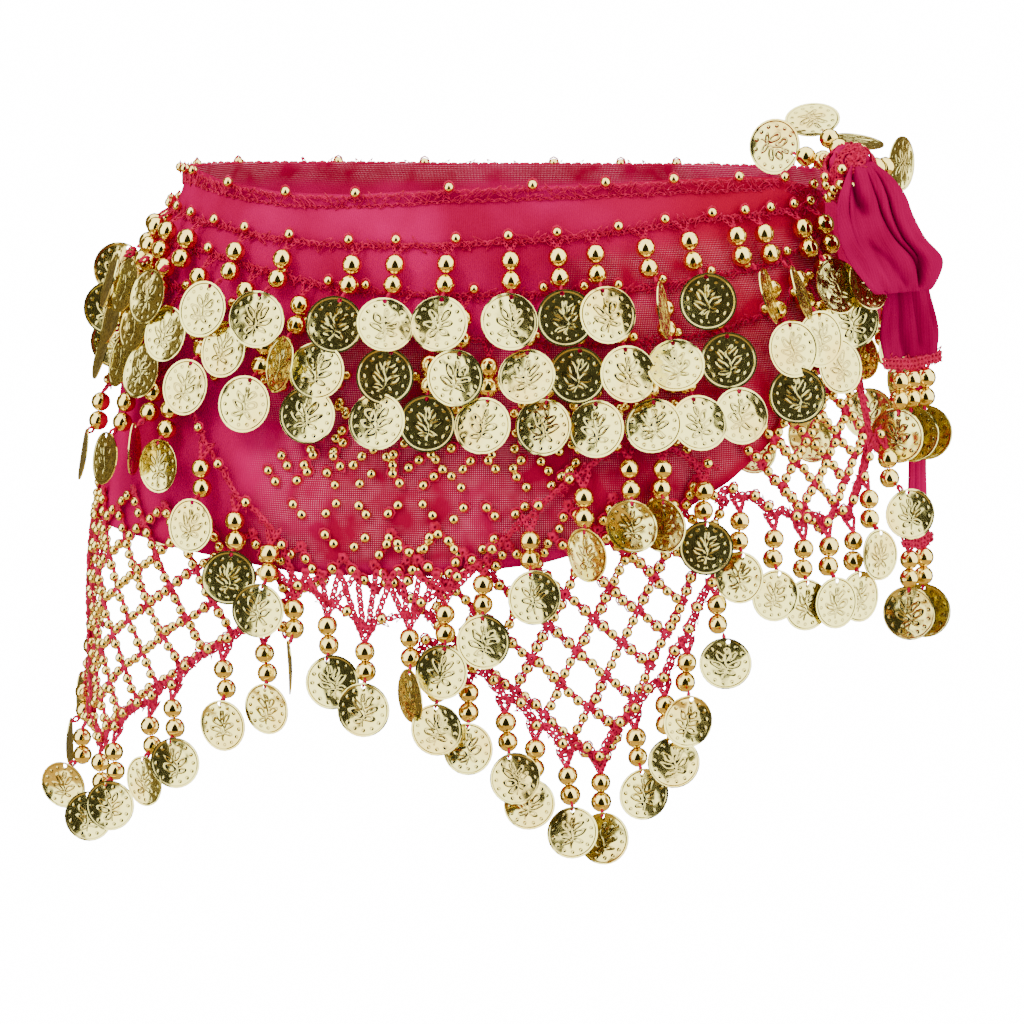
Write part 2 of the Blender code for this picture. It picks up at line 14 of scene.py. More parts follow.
import bmesh
import bpy
import numpy as np
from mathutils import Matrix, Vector


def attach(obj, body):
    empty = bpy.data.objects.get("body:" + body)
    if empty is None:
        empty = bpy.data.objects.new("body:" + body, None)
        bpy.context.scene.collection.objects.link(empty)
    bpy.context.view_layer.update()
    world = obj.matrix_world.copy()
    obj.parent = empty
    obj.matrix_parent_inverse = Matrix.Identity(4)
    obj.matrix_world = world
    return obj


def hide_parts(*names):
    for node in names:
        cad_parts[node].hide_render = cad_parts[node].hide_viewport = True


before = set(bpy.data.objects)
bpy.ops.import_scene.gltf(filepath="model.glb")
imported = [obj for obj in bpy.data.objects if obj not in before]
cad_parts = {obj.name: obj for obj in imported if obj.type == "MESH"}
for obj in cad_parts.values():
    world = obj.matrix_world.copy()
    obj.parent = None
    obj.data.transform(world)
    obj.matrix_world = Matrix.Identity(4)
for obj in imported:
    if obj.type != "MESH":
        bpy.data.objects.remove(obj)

logging.basicConfig(level=logging.INFO, format="%(message)s")
LOG = logging.getLogger("hip_scarf")
Array = np.ndarray
Item = bpy.types.Object
Finish = bpy.types.Material
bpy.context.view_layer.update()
MM = 0.001
BODY = "root"
SEED = 11
STITCH_STEP = 2.3       # from one crochet stitch to the next

# Distances out from the cloth's middle, in millimetres
NET_OUT = 2.3
LINE_OUT = 1.9
OVER_NET_OUT = 4.6
LAYER = 2.1             # from one layer of coins to the next
TURNED_CLEARANCE = 4.6  # of the nearer edge of a coin that hangs turned
# Lengths of a drop, in millimetres
COIN_RADIUS = 11.5
BEADS_BELOW = (7.0, 15.0)
LINK_BELOW = 19.0
COIN_HANGS = 10.9       # from the link to the middle of a full-sized coin
DROP_LENGTH = 40.2
BEAD_EYE = 3.6          # from a large bead's middle to its thread's hole
ROOT_SPREAD = 2.6       # from a drop's root to each of the two cords that hold it

# Small differences from one to the next
STITCH_TURN = 6.0       # of a stitch, in degrees
WHISKER_LEAN = (20.0, 65.0)
BEAD_SIZES = (0.96, 1.03)
COIN_ROLL = 9.0         # of a coin in its own plane, in degrees
COIN_BEND = 0.004
THREE_BEADS = 0.25      # the share of a net's sides that have three beads
LOOPED_BEADS = 0.5      # the share of a cell's beads that have a loop of yarn round them
SIDE_SLACK = 1.6        # how far a side of a cell sags to one side at most, in millimetres
NET_SIDE_SLACK = 0.7    # the same in a net

# A net's yarn: how far its stitches turn in degrees, and the three that knot a crossing, each
# with its turn in radians and its lift in millimetres
NET_TILT = 9.0
CROSSING = ((0.2, 0.2), (1.2, 0.7), (2.3, 0.4))

# Stretches in degrees
FRONT_LINES = (-179.6, -31.0)
BACK_LINES = (-14.0, 179.6)
FRONT_TRIM = (-179.6, -28.0)
BACK_TRIM = (-17.0, 179.2)
BACK_DROPS = (-8.0, 177.0)
BACK_SWAG = (12.0, 150.0)
# The back's lines
ROW_DROPS = 14          # on each row
HEM_DROPS = 13
HEM_LINE_OUT = 2.4      # of the line along the hem, in millimetres
HEM_LINE_LIFT = 6.0


class Line(Enum):
    """A level line of the wrapped cloth, numbered by its column in the tables."""

    TOP = 1
    ROW_1 = 2
    ROW_2 = 3
    ROW_3 = 4
    HEM = 5


class Glint(Enum):
    """How a coin hangs against the light."""

    DARK = "d"      # squarely towards the front, so that it mirrors the dark card
    PALE = "p"      # so that it mirrors the white studio
    MIXED = "m"     # between the two, so that its dents mirror both
    HUNG = "h"      # as its thread leaves it


class Slot(Enum):
    """The record's material slots."""

    VELVET = "velvet"
    CROCHET = "crochet"
    GOLD = "gold"


# angle, top edge, rows 1 to 3, hem
FRONT_LEVELS = (
    (-205, -3, -19, -33, -48, -146), (-180, -2, -18, -31, -46, -149),
    (-160, -1, -18, -31, -46, -149), (-146, -4, -21, -32, -49, -150),
    (-130, -7, -25, -38, -56, -154), (-117, -7, -27, -44, -61, -158),
    (-100, -4, -26, -46, -63, -157), (-86, -3, -24, -45, -64, -152),
    (-72, -2, -21, -44, -65, -140), (-60, -1, -17, -40, -62, -121), (-48, -1, -16, -36, -53, -96),
    (-40, -2, -15, -31, -44, -76), (-33, -5, -14, -25, -35, -52), (-27, -8, -13, -19, -25, -34),
)
BACK_LEVELS = (
    (-19, -5, -13, -20, -27, -36), (-10, -4, -15, -26, -36, -50), (5, -4, -18, -32, -46, -64),
    (25, -5, -20, -38, -55, -84), (45, -6, -22, -42, -61, -108), (70, -7, -24, -44, -64, -124),
    (100, -7, -24, -44, -64, -130), (130, -5, -22, -40, -58, -140), (155, -3, -19, -33, -48, -146),
    (180, -2, -18, -31, -46, -149),
)
LAST_FRONT_ANGLE = -23.0

# Drops of the level rows: angle, turn of the coin, sideways lean, layer, glint
ROW_1_DROPS = (
    (-178, 0, 0, 0, "h"), (-168.4, 0, 0, 1, "h"), (-158.5, 0, 0, 0, "h"), (-149.2, 0, 0, 1, "h"),
    (-135.8, 0, -1, 0, "p"), (-126.2, 10, -2, 1, "m"), (-114.5, 0, 0, 0, "d"),
    (-107.8, 0, 0, 1, "p"), (-100, 0, 0, 0, "m"), (-90.3, 0, 1, 1, "m"), (-83, 0, 1, 0, "d"),
    (-77.2, 0, 0, 1, "p"), (-69.4, -66, 1, 3, "h"), (-62.2, 0, 1, 1, "d"), (-53.8, -50, 2, 2, "h"),
    (-48.4, -44, 2, 2, "h"), (-39.5, 0, 1, 0, "p"), (-33.4, 0, 0, 2, "p"),
)
ROW_2_DROPS = (
    (-173.4, 0, 0, 0, "h"), (-163.2, 0, 0, 1, "h"), (-154.2, 0, -1, 0, "h"),
    (-142.5, 0, -2, 1, "p"), (-131.7, 8, -1, 0, "p"), (-121.8, 40, -1, 1, "h"),
    (-115.8, 0, -2, 0, "m"), (-106.2, 0, -2, 1, "d"), (-97.1, 0, -1, 0, "m"),
    (-87.7, 0, -1, 1, "p"), (-80.6, 0, 0, 0, "d"), (-74.3, 0, -1, 1, "p"), (-67.4, 0, -1, 0, "p"),
    (-59.7, 0, -1, 1, "d"), (-49.7, 0, 0, 0, "p"), (-44, 0, 0, 0, "p"), (-36.4, 0, 0, 0, "m"),
)
ROW_3_DROPS = (
    (-177, 0, 0, 0, "h"), (-167.6, 0, 0, 1, "h"), (-158.2, 0, 0, 0, "h"), (-148.6, 0, 0, 1, "h"),
    (-137.7, 0, -1, 1, "p"), (-126.3, 0, -2, 1, "p"), (-117.7, 0, 0, 0, "m"),
    (-108.2, 0, 0, 1, "m"), (-101.5, 0, 0, 0, "d"), (-93.3, 0, 0, 1, "p"), (-85.3, 0, 0, 0, "m"),
    (-78.8, 0, 0, 1, "p"), (-70.8, 0, 0, 0, "p"), (-65.4, 0, -1, 1, "p"), (-58.6, 0, -2, 0, "p"),
    (-49.7, 0, -1, 1, "d"), (-40.7, 0, 0, 0, "p"),
)
# Drops of the swag and the net edges: angle and level of the root, turn of the coin, sideways
# lean, layer, glint
SWAG_DROPS = (
    (-170, -92, 0, 0, 0, "h"), (-154.3, -88, 0, 6, 1, "h"), (-146.8, -82, 50, 6, 1, "h"),
    (-141.8, -88, 0, 4, 0, "p"), (-133.9, -110, 0, 6, 1, "p"), (-127.6, -130, 0, 6, 0, "d"),
    (-121.7, -142, 0, 0, 1, "m"), (-118, -164, 66, 1, 1, "h"), (-113.6, -170, 0, 3, 0, "p"),
    (-108.7, -180, 0, 2, 1, "m"), (-103, -174, 56, 2, 0, "h"), (-98.5, -164, 0, 1, 1, "m"),
    (-93.7, -152, 0, 0, 0, "m"), (-87.7, -134, 0, 0, 1, "m"), (-80.7, -117, 50, -1, 0, "h"),
    (-74.7, -106, 30, -1, 0, "h"), (-70.4, -106, 44, -3, 1, "h"), (-64.5, -116, 0, -4, 0, "d"),
)
LEFT_EDGE = (
    (-190, -205, 0, 0, 0, "p"), (-182, -222, 0, 0, 1, "p"), (-173, -238, -62, -6, 0, "h"),
    (-157.3, -241, -50, 6, 1, "h"), (-152, -234, -45, 6, 0, "h"), (-142.3, -219, 0, 6, 1, "p"),
    (-137.6, -210, 30, 6, 0, "m"), (-128.7, -191, 0, 6, 1, "p"), (-122.5, -183, 10, 6, 0, "p"),
)
CENTRE_EDGE = (
    (-99.6, -188, 0, 1, 1, "p"), (-95.5, -196, 0, 0, 0, "p"), (-91, -208, 0, 4, 1, "m"),
    (-87, -219, 0, -1, 0, "p"), (-83.2, -230, 0, 5, 1, "p"), (-78.8, -233, 0, 1, 0, "p"),
    (-74.5, -215, 0, 4, 1, "m"), (-70.6, -202, 0, 1, 2, "m"), (-67.6, -185, 0, -3, 3, "p"),
    (-63.8, -162, 0, 1, 4, "p"),
)
RIGHT_EDGE = (
    (-59.6, -129, 44, -6, 0, "h"), (-54.8, -137, 0, -6, 1, "p"), (-50.3, -142, 0, -6, 0, "p"),
    (-46, -142, 0, -6, 1, "p"), (-41.4, -141, 0, -6, 0, "p"), (-37.1, -125, 0, -6, 1, "p"),
    (-30.8, -110, 0, -6, 2, "d"),
)
# Small beads sewn to the front's top edge and to its first row, as angles
TRIM_BEADS = (-173, -165, -158.6, -143.3, -129, -116, -100.4, -86.6, -74.5, -62.7, -50.2, -39.6,
              -31.3)
ROW_1_BEADS = (-170, -161, -152.9, -144.2, -136, -126.5, -115.9, -108.2, -98.8, -90.6, -82.9,
               -73.1, -65.3, -56.9, -50.5, -44.9, -39, -34.1)
# Rows of the half bow: level, then x and y of its left side and of its right side
BOW_FRONT = (
    (5, 138, -70, 147, -67), (-1, 135, -76, 154, -70), (-8, 132, -82, 159, -74),
    (-16, 131, -85, 162, -76), (-25, 132, -88, 167, -76), (-34, 136, -88, 175, -72),
    (-44, 144, -86, 173, -68),
)
BOW_BACK = (
    (-47, 148, -81, 171, -63), (-42, 147, -77, 172, -59), (-30, 143, -75, 167, -61),
    (-17, 139, -73, 158, -65),
)
# Folds of the tied pieces: place across and down of each end, as shares, then spread and rise
BOW_FOLDS = (
    ((0.13, 0.06), (0.37, 0.47), 0.07, -5.0), ((0.52, 0.13), (0.75, 1.0), 0.028, -3.0),
    ((0.74, 0.12), (0.77, 1.0), 0.035, -3.4), ((0.14, 0.1), (0.19, 0.75), 0.018, -0.9),
    ((0.36, 0.06), (0.60, 0.95), 0.075, 2.0), ((0.66, 0.12), (0.73, 0.85), 0.05, 1.6),
    ((0.88, 0.04), (0.87, 1.0), 0.10, 1.8), ((0.10, 0.5), (0.30, 1.0), 0.08, 1.2),
    ((0.35, 0.70), (0.55, 1.0), 0.05, -1.2),
)
TAIL_FOLDS = (
    ((0.30, 0.0), (0.42, 1.0), 0.06, -1.6), ((0.62, 0.1), (0.66, 0.9), 0.05, -1.4),
    ((0.48, 0.0), (0.54, 1.0), 0.08, 1.4), ((0.85, 0.2), (0.80, 1.0), 0.08, 1.2),
)
# Rows of the tied ends, as those of the half bow
TAIL_UPPER = (
    (-16, 148, -58, 158, -49), (-34, 150, -61, 168, -45), (-52, 152, -63, 173, -43),
    (-66, 151, -64, 177, -41), (-76, 153, -64, 177, -41),
)
TAIL_LOWER = (
    (-14, 150, -44, 156, -38), (-50, 160, -41, 168, -32), (-90, 165, -40, 173, -30),
    (-130, 166, -40, 174, -30), (-154, 164, -41, 176, -29),
)
# Drops of the tied ends: place along the end as a share, and the way the coin faces in degrees
TAIL_UPPER_DROPS = ((0.28, -138), (0.52, -136), (0.78, -128))
TAIL_LOWER_DROPS = ((0.25, -120), (0.8, -126))
# Net points: apex angle and level, a cell's steps up to the left and up to the right, the
# angles where the piece ends, its thick cords as angles and levels, and its rows of cells
# beyond the apex
NETS = (
    ("net_left", -164.0, -243.0, (-9.0, 12.4), (12.8, 8.4), -206.0, -112.0,
     (((-184, -140), (-180, -185), (-174, -232)), ((-172, -150), (-171, -190), (-168, -236))), 3),
    ("net_centre", -78.6, -233.0, (-11.4, 10.0), (6.6, 13.0), -111.0, -61.0, ()),
    ("net_right", -46.0, -143.0, (-8.6, 9.4), (7.6, 9.4), -60.4, -31.6,
     (((-33, -58), (-33.4, -106), (-39.5, -132)),)),
)


def unit(vectors: Array) -> Array:
    """Scale vectors to length one."""
    return vectors / np.linalg.norm(vectors, axis=-1, keepdims=True)


def sideways(normal: Array) -> Array:
    """Give the level direction across a normal."""
    return np.array((-normal[1], normal[0], 0.0))


def summed(steps: Array) -> Array:
    """Add steps up, from 0."""
    return np.concatenate(([0.0], np.cumsum(steps)))


def ramp(values: Array, start: float, length: float) -> Array:
    """Give 0 up to a start, 1 from a length past it, and a straight rise between them."""
    return np.clip((values - start) / length, 0.0, 1.0)


def read(table: tuple, angles: float | Array, column: int = 1) -> Array:
    """Read a column of a table at angles, which its first column gives."""
    return np.interp(angles, [row[0] for row in table], [row[column] for row in table])


def level(angles: Array, line: Line) -> Array:
    """Give the level of a line of the cloth.

    Args:
        angles: angles round the hips.
        line: the line.

    Returns:
        The levels, in millimetres.
    """
    return np.where(np.asarray(angles) > LAST_FRONT_ANGLE, read(BACK_LEVELS, angles, line.value),
                    read(FRONT_LEVELS, angles, line.value))


@dataclass(frozen=True)
class HipForm:
    """The worn form that the cloth keeps, a superellipse at every level."""

    waist_half_width: float = 135.0
    waist_half_depth: float = 90.0
    hip_half_width: float = 178.0
    hip_half_depth: float = 118.0
    hip_drop: float = 180.0
    swell: float = 1.6
    squareness: float = 2.2
    # Folds: angle and level of each end, spread and rise
    folds: tuple = (
        ((-46, -52), (-78, -134), 13, 3.0), ((-58, -96), (-100, -150), 11, 2.4),
        ((-172, -84), (-140, -140), 13, 2.0), ((-150, -96), (-118, -128), 12, 2.0),
        ((30, -70), (60, -110), 14, 2.4), ((95, -90), (140, -130), 14, 2.4),
    )
    fine_folds: tuple = (
        ((-126, -84), (-113, -150), 5, 1.1), ((-122, -140), (-100, -88), 5, 1.3),
        ((-113, -152), (-90, -100), 5, 1.2), ((-104, -150), (-78, -88), 5, 1.3),
        ((-92, -146), (-70, -112), 5, 1.0), ((-140, -12), (-120, -24), 3.5, 0.7),
        ((-128, -10), (-108, -24), 3.5, 0.6), ((-58, -4), (-38, -10), 3.5, 0.8),
        ((-56, -14), (-36, -7), 3.0, 0.8), ((-118, -34), (-100, -58), 4, 0.7),
        ((-96, -30), (-78, -42), 4, 0.6), ((-86, -50), (-64, -34), 4, 0.6),
        ((30, -20), (70, -14), 4, 0.8), ((110, -12), (150, -22), 4, 0.8),
        ((-4, -50), (20, -80), 6, 1.0),
    )

    def half_axes(self, heights: Array) -> tuple[Array, Array]:
        """Give the half width and half depth at heights."""
        share = np.clip(-np.asarray(heights, float) / self.hip_drop, -0.2, 1.0)
        narrowing = (1.0 - share) ** self.swell
        return (self.hip_half_width - (self.hip_half_width - self.waist_half_width) * narrowing,
                self.hip_half_depth - (self.hip_half_depth - self.waist_half_depth) * narrowing)

    def reach(self, angles: Array) -> Array:
        """Give how far the superellipse reaches at angles, against its axes."""
        turns = np.radians(angles)
        return (np.abs(np.cos(turns)) ** self.squareness
                + np.abs(np.sin(turns)) ** self.squareness) ** (-1.0 / self.squareness)

    def lengths(self) -> tuple[Array, Array]:
        """Measure the widest level, as angles and lengths from the front centre."""
        angles = np.arange(-360.0, 361.0, 1.0)
        turns = np.radians(angles)
        x = self.hip_half_width * self.reach(angles) * np.cos(turns)
        y = self.hip_half_depth * self.reach(angles) * np.sin(turns)
        lengths = summed(np.hypot(np.diff(x), np.diff(y)))
        return angles, lengths - np.interp(-90.0, angles, lengths)

    def length_at(self, angles: Array) -> Array:
        """Give lengths round the hips from the front centre to angles."""
        return np.interp(angles, *ARC)

    def angle_at(self, lengths: Array) -> Array:
        """Give the angles at lengths from the front centre."""
        return np.interp(lengths, ARC[1], ARC[0])

    def rise(self, angles: Array, heights: Array) -> Array:
        """Give how far the folds lift the cloth."""
        total = np.zeros(np.broadcast(angles, heights).shape)
        across = self.length_at(angles)
        for start, end, spread, crest in self.folds + self.fine_folds:
            ax, ay = float(self.length_at(start[0])), start[1]
            bx, by = float(self.length_at(end[0])) - ax, end[1] - ay
            px, py = across - ax, heights - ay
            share = np.clip((px * bx + py * by) / (bx * bx + by * by), 0.0, 1.0)
            away = np.hypot(px - share * bx, py - share * by)
            total = total + crest * np.exp(-(away / spread) ** 2)
        return total

    def outward(self, angles: Array, heights: Array) -> Array:
        """Give the level directions that point away from the hips."""
        half_width, half_depth = self.half_axes(heights)
        turns = np.radians(angles)
        power = self.squareness - 1.0
        x = np.abs(np.cos(turns)) ** power / half_width * np.sign(np.cos(turns))
        y = np.abs(np.sin(turns)) ** power / half_depth * np.sign(np.sin(turns))
        return unit(np.stack((x, y, np.zeros_like(x)), axis=-1))

    def place(self, angles: Array, heights: Array, out: float = 0.0) -> Array:
        """Give points on the cloth's middle surface, moved outwards.

        Args:
            angles: angles round the hips.
            heights: levels in millimetres.
            out: distance outwards in millimetres.

        Returns:
            The points, in metres.
        """
        angles, heights = np.broadcast_arrays(np.asarray(angles, float),
                                              np.asarray(heights, float))
        half_width, half_depth = self.half_axes(heights)
        turns, reach = np.radians(angles), self.reach(angles)
        points = np.stack((half_width * reach * np.cos(turns),
                           half_depth * reach * np.sin(turns), heights), axis=-1)
        lift = np.asarray(out + self.rise(angles, heights))[..., None]
        return (points + self.outward(angles, heights) * lift) * MM


FORM = HipForm()
ARC = FORM.lengths()


def stitches(points: Array) -> tuple[Array, Array]:
    """Give the lengths along a run at its points and at its stitches."""
    far = summed(np.linalg.norm(np.diff(points, axis=0), axis=1))
    return far, np.linspace(0.0, far[-1], max(2, round(far[-1] / (STITCH_STEP * MM)) + 1))


@dataclass(frozen=True)
class Route:
    """A run of crochet: its points, directions and facings, one stitch apart."""

    points: Array
    along: Array
    facing: Array

    @classmethod
    def on_hips(cls, angles: tuple, heights: tuple, out: float) -> "Route":
        """Lay a run on the hips.

        Args:
            angles: angles of its corners.
            heights: levels of its corners, in millimetres.
            out: distance from the cloth's middle, in millimetres.

        Returns:
            The run.
        """
        corners, last = np.arange(len(angles)), len(angles) - 1
        fine = np.linspace(0, last, 12 * last + 1)
        turns, levels = np.interp(fine, corners, angles), np.interp(fine, corners, heights)
        far, at = stitches(FORM.place(turns, levels, out))
        turns, levels = np.interp(at, far, turns), np.interp(at, far, levels)
        points = FORM.place(turns, levels, out)
        return cls(points, unit(np.gradient(points, axis=0)), FORM.outward(turns, levels))

    @classmethod
    def through(cls, corners: Array, facing: Array) -> "Route":
        """Lay a run through points in metres, all its stitches facing one way."""
        far, at = stitches(corners)
        points = np.stack([np.interp(at, far, corners[:, k]) for k in range(3)], axis=-1)
        return cls(points, unit(np.gradient(points, axis=0)),
                   np.broadcast_to(unit(np.asarray(facing, float)), points.shape))

    def frames(self, side: float | Array, lift: float, lean: Array, width: float = 1.0) -> Array:
        """Give a stitch's placing at every point.

        Args:
            side: shift across the run in millimetres, for all or for each.
            lift: shift outwards, in millimetres.
            lean: turn of each stitch in its own plane, in degrees.
            width: stretch across the run.

        Returns:
            Matrices of four by four.
        """
        across = unit(np.cross(self.facing, self.along))
        facing = np.cross(self.along, across)
        turn = np.radians(lean)[:, None]
        main = self.along * np.cos(turn) + across * np.sin(turn)
        other = across * np.cos(turn) - self.along * np.sin(turn)
        made = np.zeros((len(self.points), 4, 4))
        made[:, :3, 0], made[:, :3, 1], made[:, :3, 2] = main, other * width, facing
        made[:, :3, 3] = self.points + across * side * MM + facing * lift * MM
        made[:, 3, 3] = 1.0
        return made


@dataclass(frozen=True)
class Mould:
    """A small shape that is modelled once and copied."""

    points: Array
    corners: Array
    counts: Array

    @classmethod
    def take(cls, item: Item) -> "Mould":
        """Read a modelled object and remove it."""
        mesh = item.data
        points = np.empty(len(mesh.vertices) * 3)
        corners = np.empty(len(mesh.loops), np.int32)
        counts = np.empty(len(mesh.polygons), np.int32)
        mesh.vertices.foreach_get("co", points)
        mesh.loops.foreach_get("vertex_index", corners)
        mesh.polygons.foreach_get("loop_total", counts)
        bpy.data.objects.remove(item, do_unlink=True)
        return cls(points.reshape(-1, 3), corners, counts)


@dataclass
class Copies:
    """Copies of moulds, gathered into one mesh."""

    points: list = field(default_factory=list)
    corners: list = field(default_factory=list)
    counts: list = field(default_factory=list)
    local: list = field(default_factory=list)
    total: int = 0

    def add(self, mould: Mould, frames: Array, bends: Array | None = None) -> None:
        """Add a copy of a mould at each placing.

        Args:
            mould: the shape.
            frames: matrices of four by four.
            bends: for each copy, how strongly it bends on x squared, z squared and x times z.
        """
        shape = np.broadcast_to(mould.points, (len(frames), *mould.points.shape)).copy()
        if bends is not None:
            x, z = shape[:, :, 0] / MM, shape[:, :, 2] / MM
            shape[:, :, 1] += (bends[:, :1] * x * x + bends[:, 1:2] * z * z
                               + bends[:, 2:3] * x * z) * MM
        moved = np.einsum("nij,nkj->nki", frames[:, :3, :3], shape) + frames[:, None, :3, 3]
        self.points.append(moved.reshape(-1, 3))
        self.local.append(np.tile(mould.points / MM, (len(frames), 1)))
        size = len(mould.points)
        base = self.total + np.arange(len(frames), dtype=np.int32)[:, None] * size
        self.corners.append((mould.corners[None, :] + base).ravel())
        self.counts.append(np.tile(mould.counts, len(frames)))
        self.total += len(frames) * size

    def piece(self, name: str, finish: Finish, slot: Slot,
              nodes: tuple = (), crease: float | None = None) -> Item:
        """Make the gathered copies one piece.

        Args:
            name: the piece's name.
            finish: its material.
            slot: not used.
            nodes: the solids that it stands for.
            crease: the angle in degrees past which an edge stays sharp, or None.

        Returns:
            The piece.
        """
        points, corners = np.concatenate(self.points), np.concatenate(self.corners)
        counts = np.concatenate(self.counts)
        mesh = bpy.data.meshes.new(name)
        mesh.vertices.add(len(points))
        mesh.vertices.foreach_set("co", points.astype(np.float32).ravel())
        mesh.loops.add(len(corners))
        mesh.loops.foreach_set("vertex_index", corners.astype(np.int32))
        mesh.polygons.add(len(counts))
        starts = np.concatenate(([0], np.cumsum(counts)[:-1])).astype(np.int32)
        mesh.polygons.foreach_set("loop_start", starts)
        mesh.polygons.foreach_set("use_smooth", np.ones(len(counts), bool))
        mesh.update(calc_edges=True)
        local = mesh.attributes.new("local", "FLOAT_VECTOR", "POINT")
        local.data.foreach_set("vector", np.concatenate(self.local).astype(np.float32).ravel())
        mesh.validate()
        return dress(placed(name, mesh), finish, nodes, crease)


def placed(name: str, data: bpy.types.ID) -> Item:
    """Put a mesh, light or camera into the scene as an object."""
    item = bpy.data.objects.new(name, data)
    bpy.context.scene.collection.objects.link(item)
    return item


def dress(item: Item, finish: Finish, nodes: tuple = (),
          crease: float | None = None) -> Item:
    """Give a piece its finish and its body, and hide the solids that it stands for."""
    item.data.materials.clear()
    item.data.materials.append(finish)
    if crease is not None:
        alone(item)
        bpy.ops.object.shade_smooth_by_angle(angle=radians(crease))
    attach(item, BODY)
    if nodes:
        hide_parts(*nodes)
    LOG.info("%s: %d faces", item.name, len(item.data.polygons))
    return item


def alone(item: Item) -> None:
    """Make one object the only selected and active one."""
    bpy.ops.object.select_all(action="DESELECT")
    item.select_set(True)
    bpy.context.view_layer.objects.active = item


def primitive(add: Callable, **sizes: object) -> Item:
    """Add one of Blender's primitives, with nothing else selected."""
    bpy.ops.object.select_all(action="DESELECT")
    add(**sizes)
    return bpy.context.object


def squeeze(item: Item, chosen: Callable, scale: tuple) -> None:
    """Scale the vertices that a test of their place chooses, in edit mode."""
    bpy.ops.object.mode_set(mode="EDIT")
    bpy.ops.mesh.select_all(action="DESELECT")
    work = bmesh.from_edit_mesh(item.data)
    for vertex in work.verts:
        vertex.select = chosen(vertex.co)
    work.select_flush(True)
    bpy.ops.transform.resize(value=scale)
    bpy.ops.object.mode_set(mode="OBJECT")


def shell(name: str, grid: Array, flat: Array, thickness: float,
          extra: dict[str, Array] | None = None) -> Item:
    """Make a thin cloth shell through a grid of points.

    Args:
        name: the object's name.
        grid: points in metres, rows by columns.
        flat: the cloth's own coordinates in metres at the same places, for its weave.
        thickness: the wall in millimetres.
        extra: named values at the same places, for its finish.

    Returns:
        The object, its wall applied.
    """
    rows, columns = grid.shape[:2]
    index = np.arange(rows * columns).reshape(rows, columns)
    faces = np.stack((index[:-1, :-1], index[:-1, 1:], index[1:, 1:], index[1:, :-1]), axis=-1)
    mesh = bpy.data.meshes.new(name)
    mesh.from_pydata(grid.reshape(-1, 3).tolist(), [], faces.reshape(-1, 4).tolist())
    corners = np.empty(len(mesh.loops), np.int32)
    mesh.loops.foreach_get("vertex_index", corners)
    chart = mesh.uv_layers.new(name="weave")
    chart.data.foreach_set("uv", flat.reshape(-1, 2)[corners].astype(np.float32).ravel())
    for label, values in (extra or {}).items():
        layer = mesh.attributes.new(label, "FLOAT", "POINT")
        layer.data.foreach_set("value", values.astype(np.float32).ravel())
    mesh.polygons.foreach_set("use_smooth", np.ones(len(mesh.polygons), bool))
    item = placed(name, mesh)
    alone(item)
    wall = item.modifiers.new("wall", "SOLIDIFY")
    wall.thickness = thickness * MM
    wall.offset = 0.0
    wall.use_even_offset = True
    bpy.ops.object.modifier_apply(modifier=wall.name)
    return item


class Signal:
    """A shader value that Python's arithmetic works on."""

    def __init__(self, board: "Board", socket: bpy.types.NodeSocket) -> None:
        """Wrap a socket of a board."""
        self.board = board
        self.socket = socket

    def __add__(self, other: "Signal | float") -> "Signal":
        """Add."""
        return self.board.maths("ADD", self, other)

    def __sub__(self, other: "Signal | float") -> "Signal":
        """Take away."""
        return self.board.maths("SUBTRACT", self, other)

    def __rsub__(self, other: float) -> "Signal":
        """Take away from a number."""
        return self.board.maths("SUBTRACT", other, self)

    def __mul__(self, other: "Signal | float") -> "Signal":
        """Multiply."""
        return self.board.maths("MULTIPLY", self, other)

    __radd__ = __add__
    __rmul__ = __mul__


